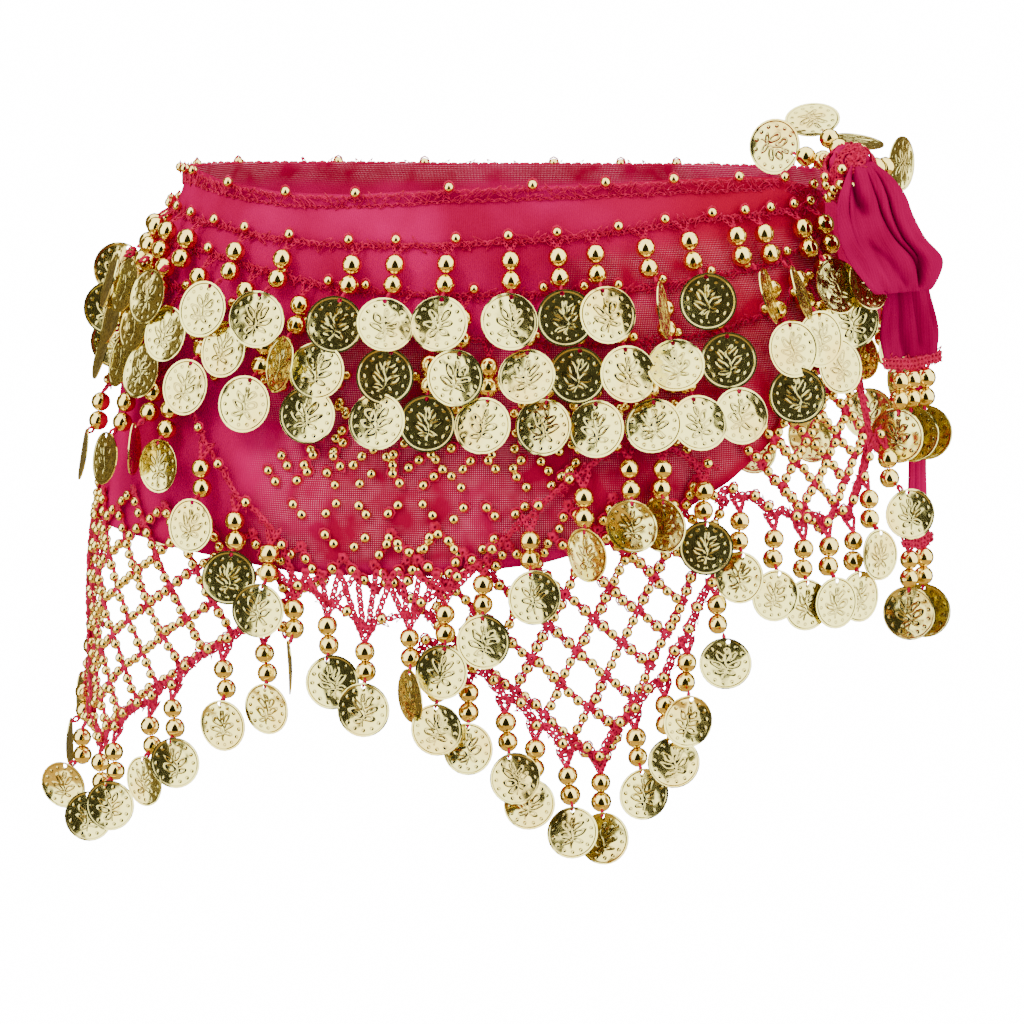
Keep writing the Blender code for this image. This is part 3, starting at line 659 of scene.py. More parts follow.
class Board:
    """The node board of one material."""

    def __init__(self, name: str) -> None:
        """Start a material with its Principled shader."""
        self.material = bpy.data.materials.new(name)
        self.material.use_nodes = True
        self.tree = self.material.node_tree
        self.shader = self.tree.nodes["Principled BSDF"]

    def node(self, kind: str, settings: dict | None = None, inputs: dict | None = None,
             output: int | str = 0) -> Signal:
        """Add a node.

        Args:
            kind: its type, without the ShaderNode in front.
            settings: its own settings.
            inputs: values or signals for its sockets, by name or number.
            output: which output to return.

        Returns:
            The signal of that output.
        """
        made = self.tree.nodes.new("ShaderNode" + kind)
        for label, value in (settings or {}).items():
            setattr(made, label, value)
        for label, value in (inputs or {}).items():
            self.feed(made.inputs[label], value)
        return Signal(self, made.outputs[output])

    def feed(self, socket: bpy.types.NodeSocket, value: object) -> None:
        """Link a signal to a socket, or set the socket's own value."""
        if isinstance(value, Signal):
            self.tree.links.new(value.socket, socket)
        else:
            socket.default_value = value

    def maths(self, operation: str, first: "Signal | float", second: "Signal | float" = 0.0,
              clamp: bool = False) -> Signal:
        """Add a Math node."""
        return self.node("Math", {"operation": operation, "use_clamp": clamp},
                         {0: first, 1: second})

    def vector(self, operation: str, *values: "Signal | tuple", output: int | str = 0) -> Signal:
        """Add a Vector Math node."""
        return self.node("VectorMath", {"operation": operation}, dict(enumerate(values)), output)

    def axis(self, vector: Signal, number: int) -> Signal:
        """Give one of a vector's coordinates."""
        return self.node("SeparateXYZ", inputs={0: vector}, output=number)

    def attribute(self, name: str, output: str = "Fac") -> Signal:
        """Read an attribute of the mesh."""
        return self.node("Attribute", {"attribute_name": name}, output=output)

    def blend(self, first: "Signal | tuple", second: "Signal | tuple",
              share: "Signal | float") -> Signal:
        """Mix two colours."""
        return self.node("Mix", {"data_type": "RGBA"}, {0: share, 6: first, 7: second}, 2)

    def noise(self, scale: float, detail: float = 2.0, output: str = "Fac") -> Signal:
        """Give smooth noise from 0 to 1 over object coordinates."""
        where = self.node("TexCoord", output="Object")
        return self.node("TexNoise", inputs={"Vector": where, "Scale": scale, "Detail": detail},
                         output=output)

    def above(self, value: Signal, start: float, end: float) -> Signal:
        """Give 0 under a start, 1 over an end, and a straight rise between them."""
        return self.node("MapRange", {"clamp": True}, {0: value, 1: start, 2: end, 3: 0.0, 4: 1.0})

    def ridge(self, away: Signal, half: float) -> Signal:
        """Give a ridge's height from 0 to 1 by the distance from its crest."""
        return self.above(self.maths("ABSOLUTE", away), half, 0.0)

    def relief(self, height: Signal, distance: float, strength: float) -> None:
        """Give the surface a fine relief."""
        self.feed(self.shader.inputs["Normal"],
                  self.node("Bump", inputs={"Strength": strength, "Distance": distance,
                                            "Height": height}))

    def finish(self, **values: object) -> Finish:
        """Set the shader's sockets, named with _ for a space, and give the material."""
        for label, value in values.items():
            self.feed(self.shader.inputs[label.replace("_", " ")], value)
        return self.material


@dataclass(frozen=True)
class Velvet:
    """Thin stretch velvet with an open mesh ground where it is sheer."""

    name: str = "velvet"
    bright: tuple = (0.52, 0.0, 0.098, 1.0)
    deep: tuple = (0.28, 0.0, 0.026, 1.0)
    ruby: tuple = (0.37, 0.0, 0.026, 1.0)
    shadow: tuple = (0.06, 0.0, 0.008, 1.0)
    # painted light: the pale of what shows through the mesh's holes from behind
    hole: tuple = (0.86, 0.32, 0.40, 1.0)
    rib: float = 0.00105            # from one rib to the next, in metres
    pitch: float = 0.00085          # from one hole of the mesh to the next
    hole_size: float = 0.078        # half a hole's width squared, against the pitch
    hole_edge: float = 24.0         # how sharply a hole begins
    # Scales of the noises that cloud its colour, raise its nap and wear its mesh open
    clouds: float = 22.0
    nap: float = 900.0
    wear: float = 75.0

    def make(self) -> Finish:
        """Make the material."""
        board = Board(self.name)
        chart = board.node("UVMap", {"uv_map": "weave"})
        across, down = board.axis(chart, 0), board.axis(chart, 1)
        clouds, nap = board.noise(self.clouds, 3.0), board.noise(self.nap)
        sheer = board.attribute("sheer")
        worn = board.above(board.noise(self.wear), 0.36, 0.56)
        ribs = board.maths("SINE", across * (2 * pi / self.rib)) * 0.5 + 0.5
        u = board.maths("FRACT", across * (1 / self.pitch)) - 0.5
        v = board.maths("FRACT", down * (1 / self.pitch)) - 0.5
        # the mesh's holes: they sink into the relief, and their pale colour is painted light from
        # behind
        holes_lit_through = board.maths("MULTIPLY", self.hole_size - (u * u + v * v), self.hole_edge,
                            clamp=True)
        holes_lit_through = holes_lit_through * (sheer * worn)
        tone = board.above(clouds, 0.34, 0.64) * 0.72 + nap * 0.2 + ribs * 0.14
        tone = board.maths("SUBTRACT", tone, sheer * 0.5, clamp=True)
        color = board.blend(self.deep, self.bright, tone)
        color = board.blend(color, self.ruby, board.attribute("ruby"))
        # painted light from behind, in the holes of the sheer mesh where it is worn open
        color = board.blend(color, self.hole, holes_lit_through * 0.7)
        # painted shade in the troughs of the tied pieces' folds
        color = board.blend(color, self.shadow, board.attribute("fold"))
        board.relief(ribs * 0.5 + nap * 0.5 - holes_lit_through * 0.4, 0.00022, 0.6)
        return board.finish(Base_Color=color, Roughness=0.62 + nap * 0.2, Sheen_Weight=0.04,
                            Sheen_Roughness=0.4, Sheen_Tint=(1.0, 0.05, 0.4, 1.0),
                            Specular_IOR_Level=0.0)


@dataclass(frozen=True)
class Yarn:
    """Crochet yarn, twisted and slightly hairy."""

    bright: tuple = (0.62, 0.0, 0.07, 1.0)
    deep: tuple = (0.36, 0.0, 0.02, 1.0)
    # Scales of its twist, its hairs and its clouds of colour
    twist: float = 130.0
    hairs: float = 1800.0
    clouds: float = 160.0

    def make(self) -> Finish:
        """Make the material."""
        board = Board("yarn")
        where = board.node("TexCoord", output="Object")
        fibres = board.node("TexWave", {"wave_type": "BANDS", "bands_direction": "DIAGONAL"},
                            {"Vector": where, "Scale": self.twist, "Distortion": 3.0,
                             "Detail": 1.0}, "Fac")
        hairs = board.noise(self.hairs)
        tone = board.above(board.noise(self.clouds), 0.3, 0.7) * 0.5 + fibres * 0.45
        board.relief(fibres * 0.6 + hairs * 0.4, 0.0002, 0.7)
        return board.finish(Base_Color=board.blend(self.deep, self.bright, tone),
                            Roughness=0.6 + hairs * 0.25, Sheen_Weight=0.05,
                            Sheen_Roughness=0.5, Sheen_Tint=(1.0, 0.2, 0.4, 1.0),
                            Specular_IOR_Level=0.05)


@dataclass(frozen=True)
class Plating:
    """Mirror-bright gold plating of the beads."""

    color: tuple = (0.90, 0.71, 0.19, 1.0)
    worn: tuple = (0.84, 0.56, 0.12, 1.0)
    wear: float = 260.0             # the scale of its worn spots

    def make(self) -> Finish:
        """Make the material."""
        board = Board("bead_gold")
        wear = board.above(board.noise(self.wear), 0.55, 0.75)
        return board.finish(Base_Color=board.blend(self.color, self.worn, wear), Metallic=1.0,
                            Roughness=0.06 + wear * 0.08)


@dataclass(frozen=True)
class Foil:
    """Pale gold foil of the stamped coins, with a ring of dots, a sprig and soft dents."""

    color: tuple = (0.86, 0.78, 0.235, 1.0)
    warm: tuple = (0.84, 0.66, 0.17, 1.0)
    # painted shade: the dark that the stamping's slopes mirror
    crease: tuple = (0.20, 0.15, 0.05, 1.0)
    # Scales of its dents, its grain and its warmer spots
    dents: float = 110.0
    grain: float = 1500.0
    spots: float = 55.0
    # How much the stamping and the dents take in its relief
    stamped_share: float = 0.3
    dented_share: float = 1.9
    # The stamping's sizes, in millimetres
    rim_at: float = 10.2
    dots: int = 14
    dot_ring: float = 8.6
    dot: float = 0.95
    line: float = 0.5
    sprig_ends: tuple = (7.2, 6.6)
    waver: float = 1.7
    # Leaves of the sprig: x, z, half length, half width, turn in degrees
    leaves: tuple = (
        (-2.6, 2.6, 2.3, 1.0, 125.0), (2.5, 3.1, 2.2, 0.95, 48.0), (-3.1, -1.2, 2.4, 1.05, 150.0),
        (3.2, -0.4, 2.4, 1.0, 28.0), (-1.9, -4.4, 1.8, 0.8, 200.0), (2.2, -3.9, 1.9, 0.85, -20.0),
        (0.3, 5.6, 1.7, 0.8, 88.0),
    )

    def stamping(self, board: Board) -> Signal:
        """Give the height of the stamping over the coin's own coordinates in millimetres."""
        flat = board.vector("MULTIPLY", board.attribute("local", "Vector"), (1.0, 0.0, 1.0))
        far = board.vector("LENGTH", flat, output="Value")
        bearing = board.maths("ARCTAN2", board.axis(flat, 0), board.axis(flat, 2))
        share = bearing * (self.dots / (2 * pi))
        aside = (board.maths("FRACT", share + 0.5) - 0.5) * far * (2 * pi / self.dots)
        inward = far - self.dot_ring
        away = board.maths("SQRT", aside * aside + inward * inward)
        height = board.maths("MAXIMUM", board.above(away, self.dot, 0.2),
                             board.above(far, self.rim_at, self.rim_at + 0.5))
        shift = board.vector("MULTIPLY_ADD", board.noise(150.0, 1.0, "Color"),
                             (2 * self.waver, 0.0, 2 * self.waver),
                             (-self.waver, 0.0, -self.waver))
        wavy = board.vector("ADD", flat, shift)
        x, z = board.axis(wavy, 0), board.axis(wavy, 2)
        inside = board.above(far, *self.sprig_ends)
        stem = board.ridge(x + board.maths("SINE", z * 0.7) * 0.8, self.line)
        height = board.maths("MAXIMUM", height, stem * inside)
        for leaf_x, leaf_z, length, width, turn in self.leaves:
            own = board.node("Mapping", {"vector_type": "TEXTURE"}, {
                "Vector": wavy, "Location": (leaf_x, 0.0, leaf_z),
                "Rotation": (0.0, -radians(turn), 0.0), "Scale": (length, 1.0, width)})
            size = board.vector("LENGTH", own, output="Value")
            outline = board.ridge((size - 1.0) * width, self.line)
            height = board.maths("MAXIMUM", height, outline * inside)
        return height

    def make(self) -> Finish:
        """Make the material."""
        board = Board("coin_foil")
        dents = board.noise(self.dents, 1.0)
        grain = board.noise(self.grain)
        warm = board.above(board.noise(self.spots, 1.0), 0.5, 0.7)
        stamped = self.stamping(board)
        # painted shade along the mid slopes of the stamping, where they would mirror the dark
        painted_slope_shade = board.maths("MULTIPLY", stamped, 1.0 - stamped) * 3.0
        board.relief(stamped * self.stamped_share + dents * self.dented_share, 0.0009, 0.72)
        color = board.blend(self.color, self.warm, warm)
        return board.finish(Base_Color=board.blend(color, self.crease, painted_slope_shade), Metallic=1.0,
                            Roughness=0.10 + grain * 0.10)


@dataclass(frozen=True)
class Bead:
    """A round bead on a thread."""

    radius: float
    segments: int
    rings: int

    def mould(self) -> Mould:
        """Model the bead, flattened where its thread leaves it."""
        item = primitive(bpy.ops.mesh.primitive_uv_sphere_add, segments=self.segments,
                         ring_count=self.rings, radius=self.radius * MM)
        pole = 0.99 * self.radius * MM
        squeeze(item, lambda place: abs(place.z) > pole, (1.0, 1.0, 0.9))
        return Mould.take(item)


@dataclass(frozen=True)
class Stitch:
    """One loop of crochet yarn, pinched at its tail and lifted at its head."""

    yarn: float             # half its thickness, in millimetres
    radius: float = 1.0     # of the round loop that it is drawn out from
    stretch: float = 1.45   # along the chain
    narrow: float = 0.72    # across it
    lift: float = 0.14
    pinch: float = 0.55

    def mould(self) -> Mould:
        """Model the loop along +X, facing +Z."""
        item = primitive(bpy.ops.mesh.primitive_torus_add, major_segments=8, minor_segments=3,
                         major_radius=self.radius * MM, minor_radius=self.yarn * MM)
        squeeze(item, lambda place: True, (self.stretch, self.narrow, 1.0))
        tail = -0.6 * self.radius * MM
        squeeze(item, lambda place: place.x < tail, (1.0, self.pinch, 1.0))
        for vertex in item.data.vertices:
            vertex.co.z += self.lift * vertex.co.x
        return Mould.take(item)


@dataclass(frozen=True)
class Coin:
    """A thin foil coin with a raised rim and a punched hole; its foil carries the stamping."""

    radius: float = COIN_RADIUS
    thickness: float = 0.5
    sides: int = 28
    rim: float = 0.55
    slope: float = 0.3
    recess: float = 0.12
    hole_radius: float = 1.0
    hole_height: float = 9.9

    def face(self, item: Item, way: int) -> None:
        """Sink one face of the coin inside its rim."""
        work = bmesh.from_edit_mesh(item.data)
        for part in work.faces:
            part.select = part.normal.y * way > 0.9
        work.select_flush(True)
        bpy.ops.mesh.inset(thickness=self.rim * MM)
        bpy.ops.mesh.inset(thickness=self.slope * MM)
        bpy.ops.transform.translate(value=(0.0, -way * self.recess * MM, 0.0))
        bpy.ops.mesh.select_all(action="DESELECT")

    def mould(self) -> Mould:
        """Model the coin upright, facing -Y."""
        add, upright = bpy.ops.mesh.primitive_cylinder_add, (pi / 2, 0, 0)
        item = primitive(add, vertices=self.sides, radius=self.radius * MM,
                         depth=self.thickness * MM, rotation=upright)
        bpy.ops.object.transform_apply(location=True, rotation=True, scale=True)
        bpy.ops.object.mode_set(mode="EDIT")
        bpy.ops.mesh.select_all(action="DESELECT")
        self.face(item, -1)
        self.face(item, 1)
        bpy.ops.object.mode_set(mode="OBJECT")
        punch = primitive(add, vertices=8, radius=self.hole_radius * MM, depth=4 * MM,
                          rotation=upright, location=(0, 0, self.hole_height * MM))
        alone(item)
        cut = item.modifiers.new("hole", "BOOLEAN")
        cut.operation = "DIFFERENCE"
        cut.object = punch
        bpy.ops.object.modifier_apply(modifier=cut.name)
        bpy.data.objects.remove(punch, do_unlink=True)
        return Mould.take(item)


@dataclass(frozen=True)
class Studio:
    """The stage: a white cove, soft lights, a dark card and the camera."""

    camera: tuple = (0.0, -1.7, 0.118)
    pitch: float = 8.942
    lens: float = 141.05
    card_y: float = -2.0
    card_top: float = 3.1
    card_foot: float = -1.35
    card_half: float = 1.7
    card_aim: float = -0.3          # the level of the card that a dark coin turns to
    floor: float = -0.9
    size: float = 7.0
    white: float = 16.0             # of the cove
    mirrored_white: float = 4.0     # of the dome
    mirrored_gold: float = 0.9      # of the table
    sky: float = 1.6                # of the surroundings
    most_turn: float = 0.7          # how far a dark coin turns to the card, in radians
    clear_of_card: float = 0.2      # how far a pale coin's mirror image misses it, in metres
    turn_step: float = 0.03         # from one trial to the next
    turn_trials: int = 20
    card_trials: int = 16           # from the way it hangs to the card's middle
    edge_back: float = 0.35         # how far back from the card's edge, in trials
    walls_plan: tuple = ((-2.4, 0.1), (-2.4, 1.9), (2.6, 1.9), (2.6, 0.9))
    walls_levels: tuple = (-2.3, 2.4)
    card_black: tuple = (0.012, 0.011, 0.006, 1.0)
    wall_amber: tuple = (0.105, 0.072, 0.026, 1.0)
    table_gold: tuple = (1.0, 0.66, 0.26, 1.0)
    # Soft lights: name, place, size and power
    lamps: tuple = (("key", (-1.1, -1.5, 1.5), 0.9, 26.0), ("fill", (1.6, -1.3, 0.7), 1.2, 10.0),
                    ("back", (0.3, 1.7, 1.2), 1.2, 14.0))

    def mirrors_card(self, centre: Array, normal: Array, margin: float = 0.0) -> bool:
        """Tell whether a mirror shows the dark card to the camera.

        Args:
            centre: the mirror's place.
            normal: the way it faces.
            margin: how much larger the card is taken, in metres.

        Returns:
            True if it does.
        """
        ray = unit(centre - np.array(self.camera))
        ray = ray - 2.0 * ray.dot(normal) * normal
        if ray[1] > -0.05:
            return False
        spot = centre + ray * (self.card_y - centre[1]) / ray[1]
        if not self.card_foot - margin < spot[2] < self.card_top + margin:
            return False
        share = (self.card_top + margin - spot[2]) / (self.card_top - self.card_foot)
        return abs(spot[0]) < self.card_half * share + margin

    def square_on(self, centre: Array) -> Array:
        """Give the normal with which a mirror shows the middle of the card."""
        to_camera = unit(np.array(self.camera) - centre)
        to_card = unit(np.array((0.0, self.card_y, self.card_aim)) - centre)
        return unit(to_camera + to_card)

    def turned(self, centre: Array, normal: Array, glint: Glint,
               rng: np.random.Generator) -> Array:
        """Turn a hanging coin until it catches the light as it should.

        Args:
            centre: the coin's middle.
            normal: the way it hangs.
            glint: how it catches the light.
            rng: what its small differences come from.

        Returns:
            The way it faces.
        """
        if glint is Glint.HUNG:
            return normal
        square = self.square_on(centre)
        way = rng.uniform(0.25, 1.0) * rng.choice((-1.0, 1.0)) * np.cross((0.0, 0.0, 1.0), normal)
        way = unit(way + np.array((0.0, 0.0, rng.uniform(0.1, 0.8))))
        if glint is Glint.DARK:
            apart = np.arccos(np.clip(normal.dot(square), -1.0, 1.0))
            share = min(1.0, self.most_turn / max(float(apart), 1e-6))
            return unit(normal + (square - normal) * share + way * self.turn_step)
        if glint is Glint.MIXED and not self.mirrors_card(centre, normal):
            for k in range(self.card_trials):
                trial = unit(normal + (square - normal) * k / self.card_trials)
                if self.mirrors_card(centre, trial):
                    back = k - self.edge_back
                    return unit(normal + (square - normal) * back / self.card_trials)
        margin = self.clear_of_card if glint is Glint.PALE else 0.0
        for k in range(self.turn_trials):
            trial = unit(normal + way * self.turn_step * k)
            if not self.mirrors_card(centre, trial, margin):
                break
        return trial

    def build(self) -> None:
        """Make the stage and the camera."""
        cove = self.sphere("cove", self.size, self.white, "camera")
        for vertex in cove.data.vertices:
            vertex.co.z = max(vertex.co.z, self.floor)
        half, y, foot = self.card_half, self.card_y, self.card_foot
        self.screen("studio_card", [(-half, y, foot), (half, y, foot), (0.0, y, self.card_top)],
                    [(0, 1, 2)], "card_black", self.card_black)
        self.sphere("dome", self.size - 0.5, self.mirrored_white, "glossy")
        corners = [(x, y, z) for x, y in self.walls_plan for z in self.walls_levels]
        self.screen("studio_walls", corners, [(k, k + 2, k + 3, k + 1) for k in (0, 2, 4)],
                    "wall_amber", self.wall_amber)
        self.table()
        self.lights()
        eye = bpy.data.cameras.new("camera")
        eye.lens, eye.sensor_width = self.lens, 36.0
        eye.clip_start, eye.clip_end = 0.05, 50.0
        camera = placed("camera", eye)
        camera.location = self.camera
        camera.rotation_euler = (pi / 2 - radians(self.pitch), 0.0, 0.0)
        bpy.context.scene.camera = camera

    def sphere(self, name: str, radius: float, strength: float, seen_by: str) -> Item:
        """Make a white sphere round the scarf: the cove that the camera sees, or the dome."""
        item = primitive(bpy.ops.mesh.primitive_uv_sphere_add, segments=48, ring_count=24,
                         radius=radius)
        item.name = "studio_" + name
        bpy.ops.object.shade_smooth()
        self.stand(item, self.glowing(name + "_white", strength), seen_by)
        return item

    def screen(self, name: str, points: list, faces: list, finish: str, color: tuple) -> None:
        """Make a dull piece that only metal mirrors: the dark card, or the warm walls."""
        mesh = bpy.data.meshes.new(name)
        mesh.from_pydata(points, [], faces)
        dull = Board(finish).finish(Base_Color=color, Roughness=0.9, Specular_IOR_Level=0.0)
        self.stand(placed(name, mesh), dull, "glossy")

    def table(self) -> None:
        """Make the warm light from below, which only metal mirrors."""
        table = primitive(bpy.ops.mesh.primitive_circle_add, vertices=48, radius=5.0,
                          fill_type="NGON", location=(0.0, 0.0, -2.4))
        table.name = "studio_table"
        self.stand(table, self.glowing("table_gold", self.mirrored_gold, self.table_gold),
                   "glossy")

    def glowing(self, name: str, strength: float, color: tuple = (1.0, 1.0, 1.0, 1.0)) -> Finish:
        """Make a finish that gives its own light."""
        board = Board(name)
        glow = board.node("Emission", inputs={"Color": color, "Strength": strength})
        board.feed(board.tree.nodes["Material Output"].inputs["Surface"], glow)
        return board.material

    def stand(self, item: Item, finish: Finish, seen_by: str) -> None:
        """Make an object a part of the stage that only one kind of ray sees."""
        item.data.materials.append(finish)
        for ray in ("camera", "diffuse", "glossy", "transmission", "shadow"):
            setattr(item, "visible_" + ray, ray == seen_by)

    def lights(self) -> None:
        """Make the even white surroundings and the soft lights."""
        world = bpy.data.worlds.new("studio")
        world.use_nodes = True
        sky = world.node_tree.nodes["Background"].inputs
        sky["Color"].default_value, sky["Strength"].default_value = (1, 1, 1, 1), self.sky
        bpy.context.scene.world = world
        for name, place, size, power in self.lamps:
            light = bpy.data.lights.new(name, "AREA")
            light.shape, light.size, light.energy = "DISK", size, power
            item = placed(name, light)
            item.location = place
            item.visible_glossy = False
            aim = Vector((0.0, 0.0, -0.1)) - Vector(place)
            item.rotation_euler = aim.to_track_quat("-Z", "Y").to_euler()


@dataclass
class Kit:
    """The shapes, finishes and light that the whole scarf shares."""

    stitch: Mould
    thick_stitch: Mould
    whisker: Mould
    bead_loop: Mould
    large_bead: Mould
    small_bead: Mould
    coin: Mould
    velvet: Finish
    satin: Finish
    yarn: Finish
    plating: Finish
    foil: Finish
    studio: Studio
    rng: np.random.Generator

    @classmethod
    def prepare(cls, studio: Studio) -> "Kit":
        """Model every shape and make every finish."""
        satin = Velvet("satin", (0.37, 0.0, 0.066, 1.0), (0.20, 0.0, 0.026, 1.0))
        return cls(
            stitch=Stitch(yarn=0.48).mould(),
            thick_stitch=Stitch(radius=1.05, yarn=0.74, stretch=1.42, narrow=0.8).mould(),
            whisker=Stitch(radius=1.6, yarn=0.46, stretch=1.5, narrow=0.36, lift=0.05).mould(),
            bead_loop=Stitch(radius=2.35, yarn=0.42, stretch=1.22, narrow=0.98, lift=0.0).mould(),
            large_bead=Bead(radius=4.2, segments=12, rings=8).mould(),
            small_bead=Bead(radius=2.15, segments=10, rings=6).mould(),
            coin=Coin().mould(),
            velvet=Velvet().make(),
            satin=satin.make(),
            yarn=Yarn().make(),
            plating=Plating().make(),
            foil=Foil().make(),
            studio=studio,
            rng=np.random.default_rng(SEED),
        )


@dataclass(frozen=True)
class Drop:
    """Where a drop of two beads and a coin hangs on the hips."""

    angle: float
    height: float
    turn: float = 0.0
    lean: float = 0.0
    layer: float = 0
    glint: Glint = Glint.HUNG
    slack: float = 0.0          # extra thread, in millimetres
    size: float = 1.0           # of the coin, against a full-sized one

    @property
    def coin_below(self) -> float:
        """Give how far the coin's middle hangs below the root, in millimetres."""
        return LINK_BELOW + COIN_HANGS * self.size + self.slack


def placing(point: Array, x: Array, z: Array, size: float = 1.0) -> Array:
    """Give one placing from its point and two of its directions."""
    made = np.eye(4)
    made[:3, 0], made[:3, 1], made[:3, 2] = x * size, np.cross(z, x) * size, z * size
    made[:3, 3] = point
    return made[None]


@dataclass
class Strung:
    """The yarn, beads and coins of one part, gathered until its pieces are made."""

    kit: Kit
    yarn: Copies = field(default_factory=Copies)
    beads: Copies = field(default_factory=Copies)
    coins: Copies = field(default_factory=Copies)
    line_lift: float = 0.0      # how far the line lies above its drops' roots, in millimetres
    thick: bool = False

    @property
    def loop(self) -> Mould:
        """Give the stitch of this part's chains."""
        return self.kit.thick_stitch if self.thick else self.kit.stitch

    def chain(self, route: Route, side: float = 0.0, lift: float = 0.0, tilt: float = 0.0,
              width: float = 1.0) -> None:
        """Crochet one chain along a run.

        Args:
            route: the run.
            side: shift across the run, in millimetres.
            lift: shift outwards, in millimetres.
            tilt: how far the stitches turn, to alternate sides, in degrees.
            width: stretch of the stitches across the run.
        """
        count = len(route.points)
        lean = tilt * np.where(np.arange(count) % 2, 1.0, -1.0)
        lean = lean + self.kit.rng.normal(0.0, STITCH_TURN, count)
        self.yarn.add(self.loop, route.frames(side, lift, lean, width))

    def whiskers(self, route: Route, reach: float, spacing: tuple[float, float]) -> None:
        """Crochet loose loops that slant across a run.

        Args:
            route: the run.
            reach: how far from the run's middle they lie at most, in millimetres.
            spacing: least and most distance between two, in millimetres.
        """
        rng = self.kit.rng
        steps = rng.uniform(*spacing, 4 * len(route.points))
        chosen = np.rint(np.cumsum(steps) / STITCH_STEP).astype(int)
        chosen = chosen[chosen < len(route.points)]
        run = Route(route.points[chosen], route.along[chosen], route.facing[chosen])
        lean = rng.choice((-1.0, 1.0), len(chosen)) * rng.uniform(*WHISKER_LEAN, len(chosen))
        shift = rng.uniform(-reach, reach, (len(chosen), 1))
        self.yarn.add(self.kit.whisker, run.frames(shift, 0.4, lean))

    def cord(self, corners: list[Array], facing: Array) -> None:
        """Run a single narrow chain through points."""
        self.chain(Route.through(np.array(corners), facing), width=0.8)

    def bead(self, mould: Mould, point: Array, up: Array, facing: Array) -> None:
        """Thread one bead on, its hole along a direction."""
        side = unit(np.cross(facing, up))
        size = self.kit.rng.uniform(*BEAD_SIZES)
        self.beads.add(mould, placing(point, side, up, size))

    def edge_bead(self, point: Array, along: Array, facing: Array, side: float) -> None:
        """Sew one small bead beside a run."""
        across = unit(np.cross(facing, along))
        point = point + (across * side + facing * 1.5) * MM
        self.bead(self.kit.small_bead, point, along, facing)
        self.yarn.add(self.kit.bead_loop, placing(point, across, -facing, 0.92))

    def edge_beads(self, route: Route, side: float, spacing: tuple[float, float]) -> None:
        """Sew small beads along one edge of a run, unevenly spaced in millimetres."""
        at = self.kit.rng.uniform(*spacing) / 2
        far = np.arange(len(route.points)) * STITCH_STEP
        while at < far[-1]:
            k = int(np.searchsorted(far, at))
            self.edge_bead(route.points[k], route.along[k], route.facing[k], side)
            at += self.kit.rng.uniform(*spacing)

    def hang(self, drop: Drop, root_out: float, bead_out: float, coin_out: float) -> None:
        """Hang a drop on the hips."""
        normal = FORM.outward(drop.angle, drop.height - drop.coin_below)
        across = sideways(normal)
        out = max(coin_out + LAYER * drop.layer,
                  TURNED_CLEARANCE + COIN_RADIUS * abs(sin(radians(drop.turn))))

        def spot(below: float, away: float) -> Array:
            """Give the point of the drop some way below its root."""
            point = FORM.place(drop.angle, drop.height - below, away)
            return point + across * drop.lean * below / DROP_LENGTH * MM

        hole_below = drop.coin_below - Coin.hole_height * drop.size
        root, hole = spot(0.0, root_out), spot(hole_below, out)
        beads = [spot(below + drop.slack, bead_out) for below in BEADS_BELOW]
        twist = radians(drop.turn)
        facing = normal * cos(twist) - across * sin(twist)
        top = beads[0] + unit(beads[0] - beads[1]) * BEAD_EYE * MM
        for way in (-1, 1):
            side = across * way * ROOT_SPREAD
            self.cord([root + (side + (0, 0, self.line_lift)) * MM, top], normal)
        self.string(root, beads, hole, normal)
        self.hook(hole, unit(hole - spot(drop.coin_below, out)), facing, drop.glint, drop.size)

    def string(self, root: Array, beads: list[Array], hole: Array, normal: Array) -> None:
        """Run a drop's thread from its root through its beads to its coin's hole."""
        up = unit(root - hole)
        for point in beads:
            self.bead(self.kit.large_bead, point, unit(beads[0] - beads[1]), normal)
        way = unit(np.cross(up, normal))
        self.yarn.add(self.kit.stitch, placing((beads[0] + beads[1]) / 2, up, way, 0.9))
        loop = (hole + beads[1] - up * BEAD_EYE * MM) / 2
        self.yarn.add(self.kit.thick_stitch, placing(loop, unit(beads[1] - hole), way, 1.1))

    def hook(self, hole: Array, up: Array, facing: Array, glint: Glint, size: float = 1.0) -> None:
        """Hang a coin by its hole."""
        rng = self.kit.rng
        facing = unit(facing - up * facing.dot(up))
        low = Coin.hole_height * size * MM
        facing = self.kit.studio.turned(hole - up * low, facing, glint, rng)
        rise = unit(up - facing * up.dot(facing))
        side = np.cross(-facing, rise)
        roll = radians(rng.uniform(-COIN_ROLL, COIN_ROLL))
        rise, side = (rise * cos(roll) - side * sin(roll), side * cos(roll) + rise * sin(roll))
        made = placing(hole - rise * low, side, rise, size)
        self.coins.add(self.kit.coin, made, rng.uniform(-COIN_BEND, COIN_BEND, (1, 3)))

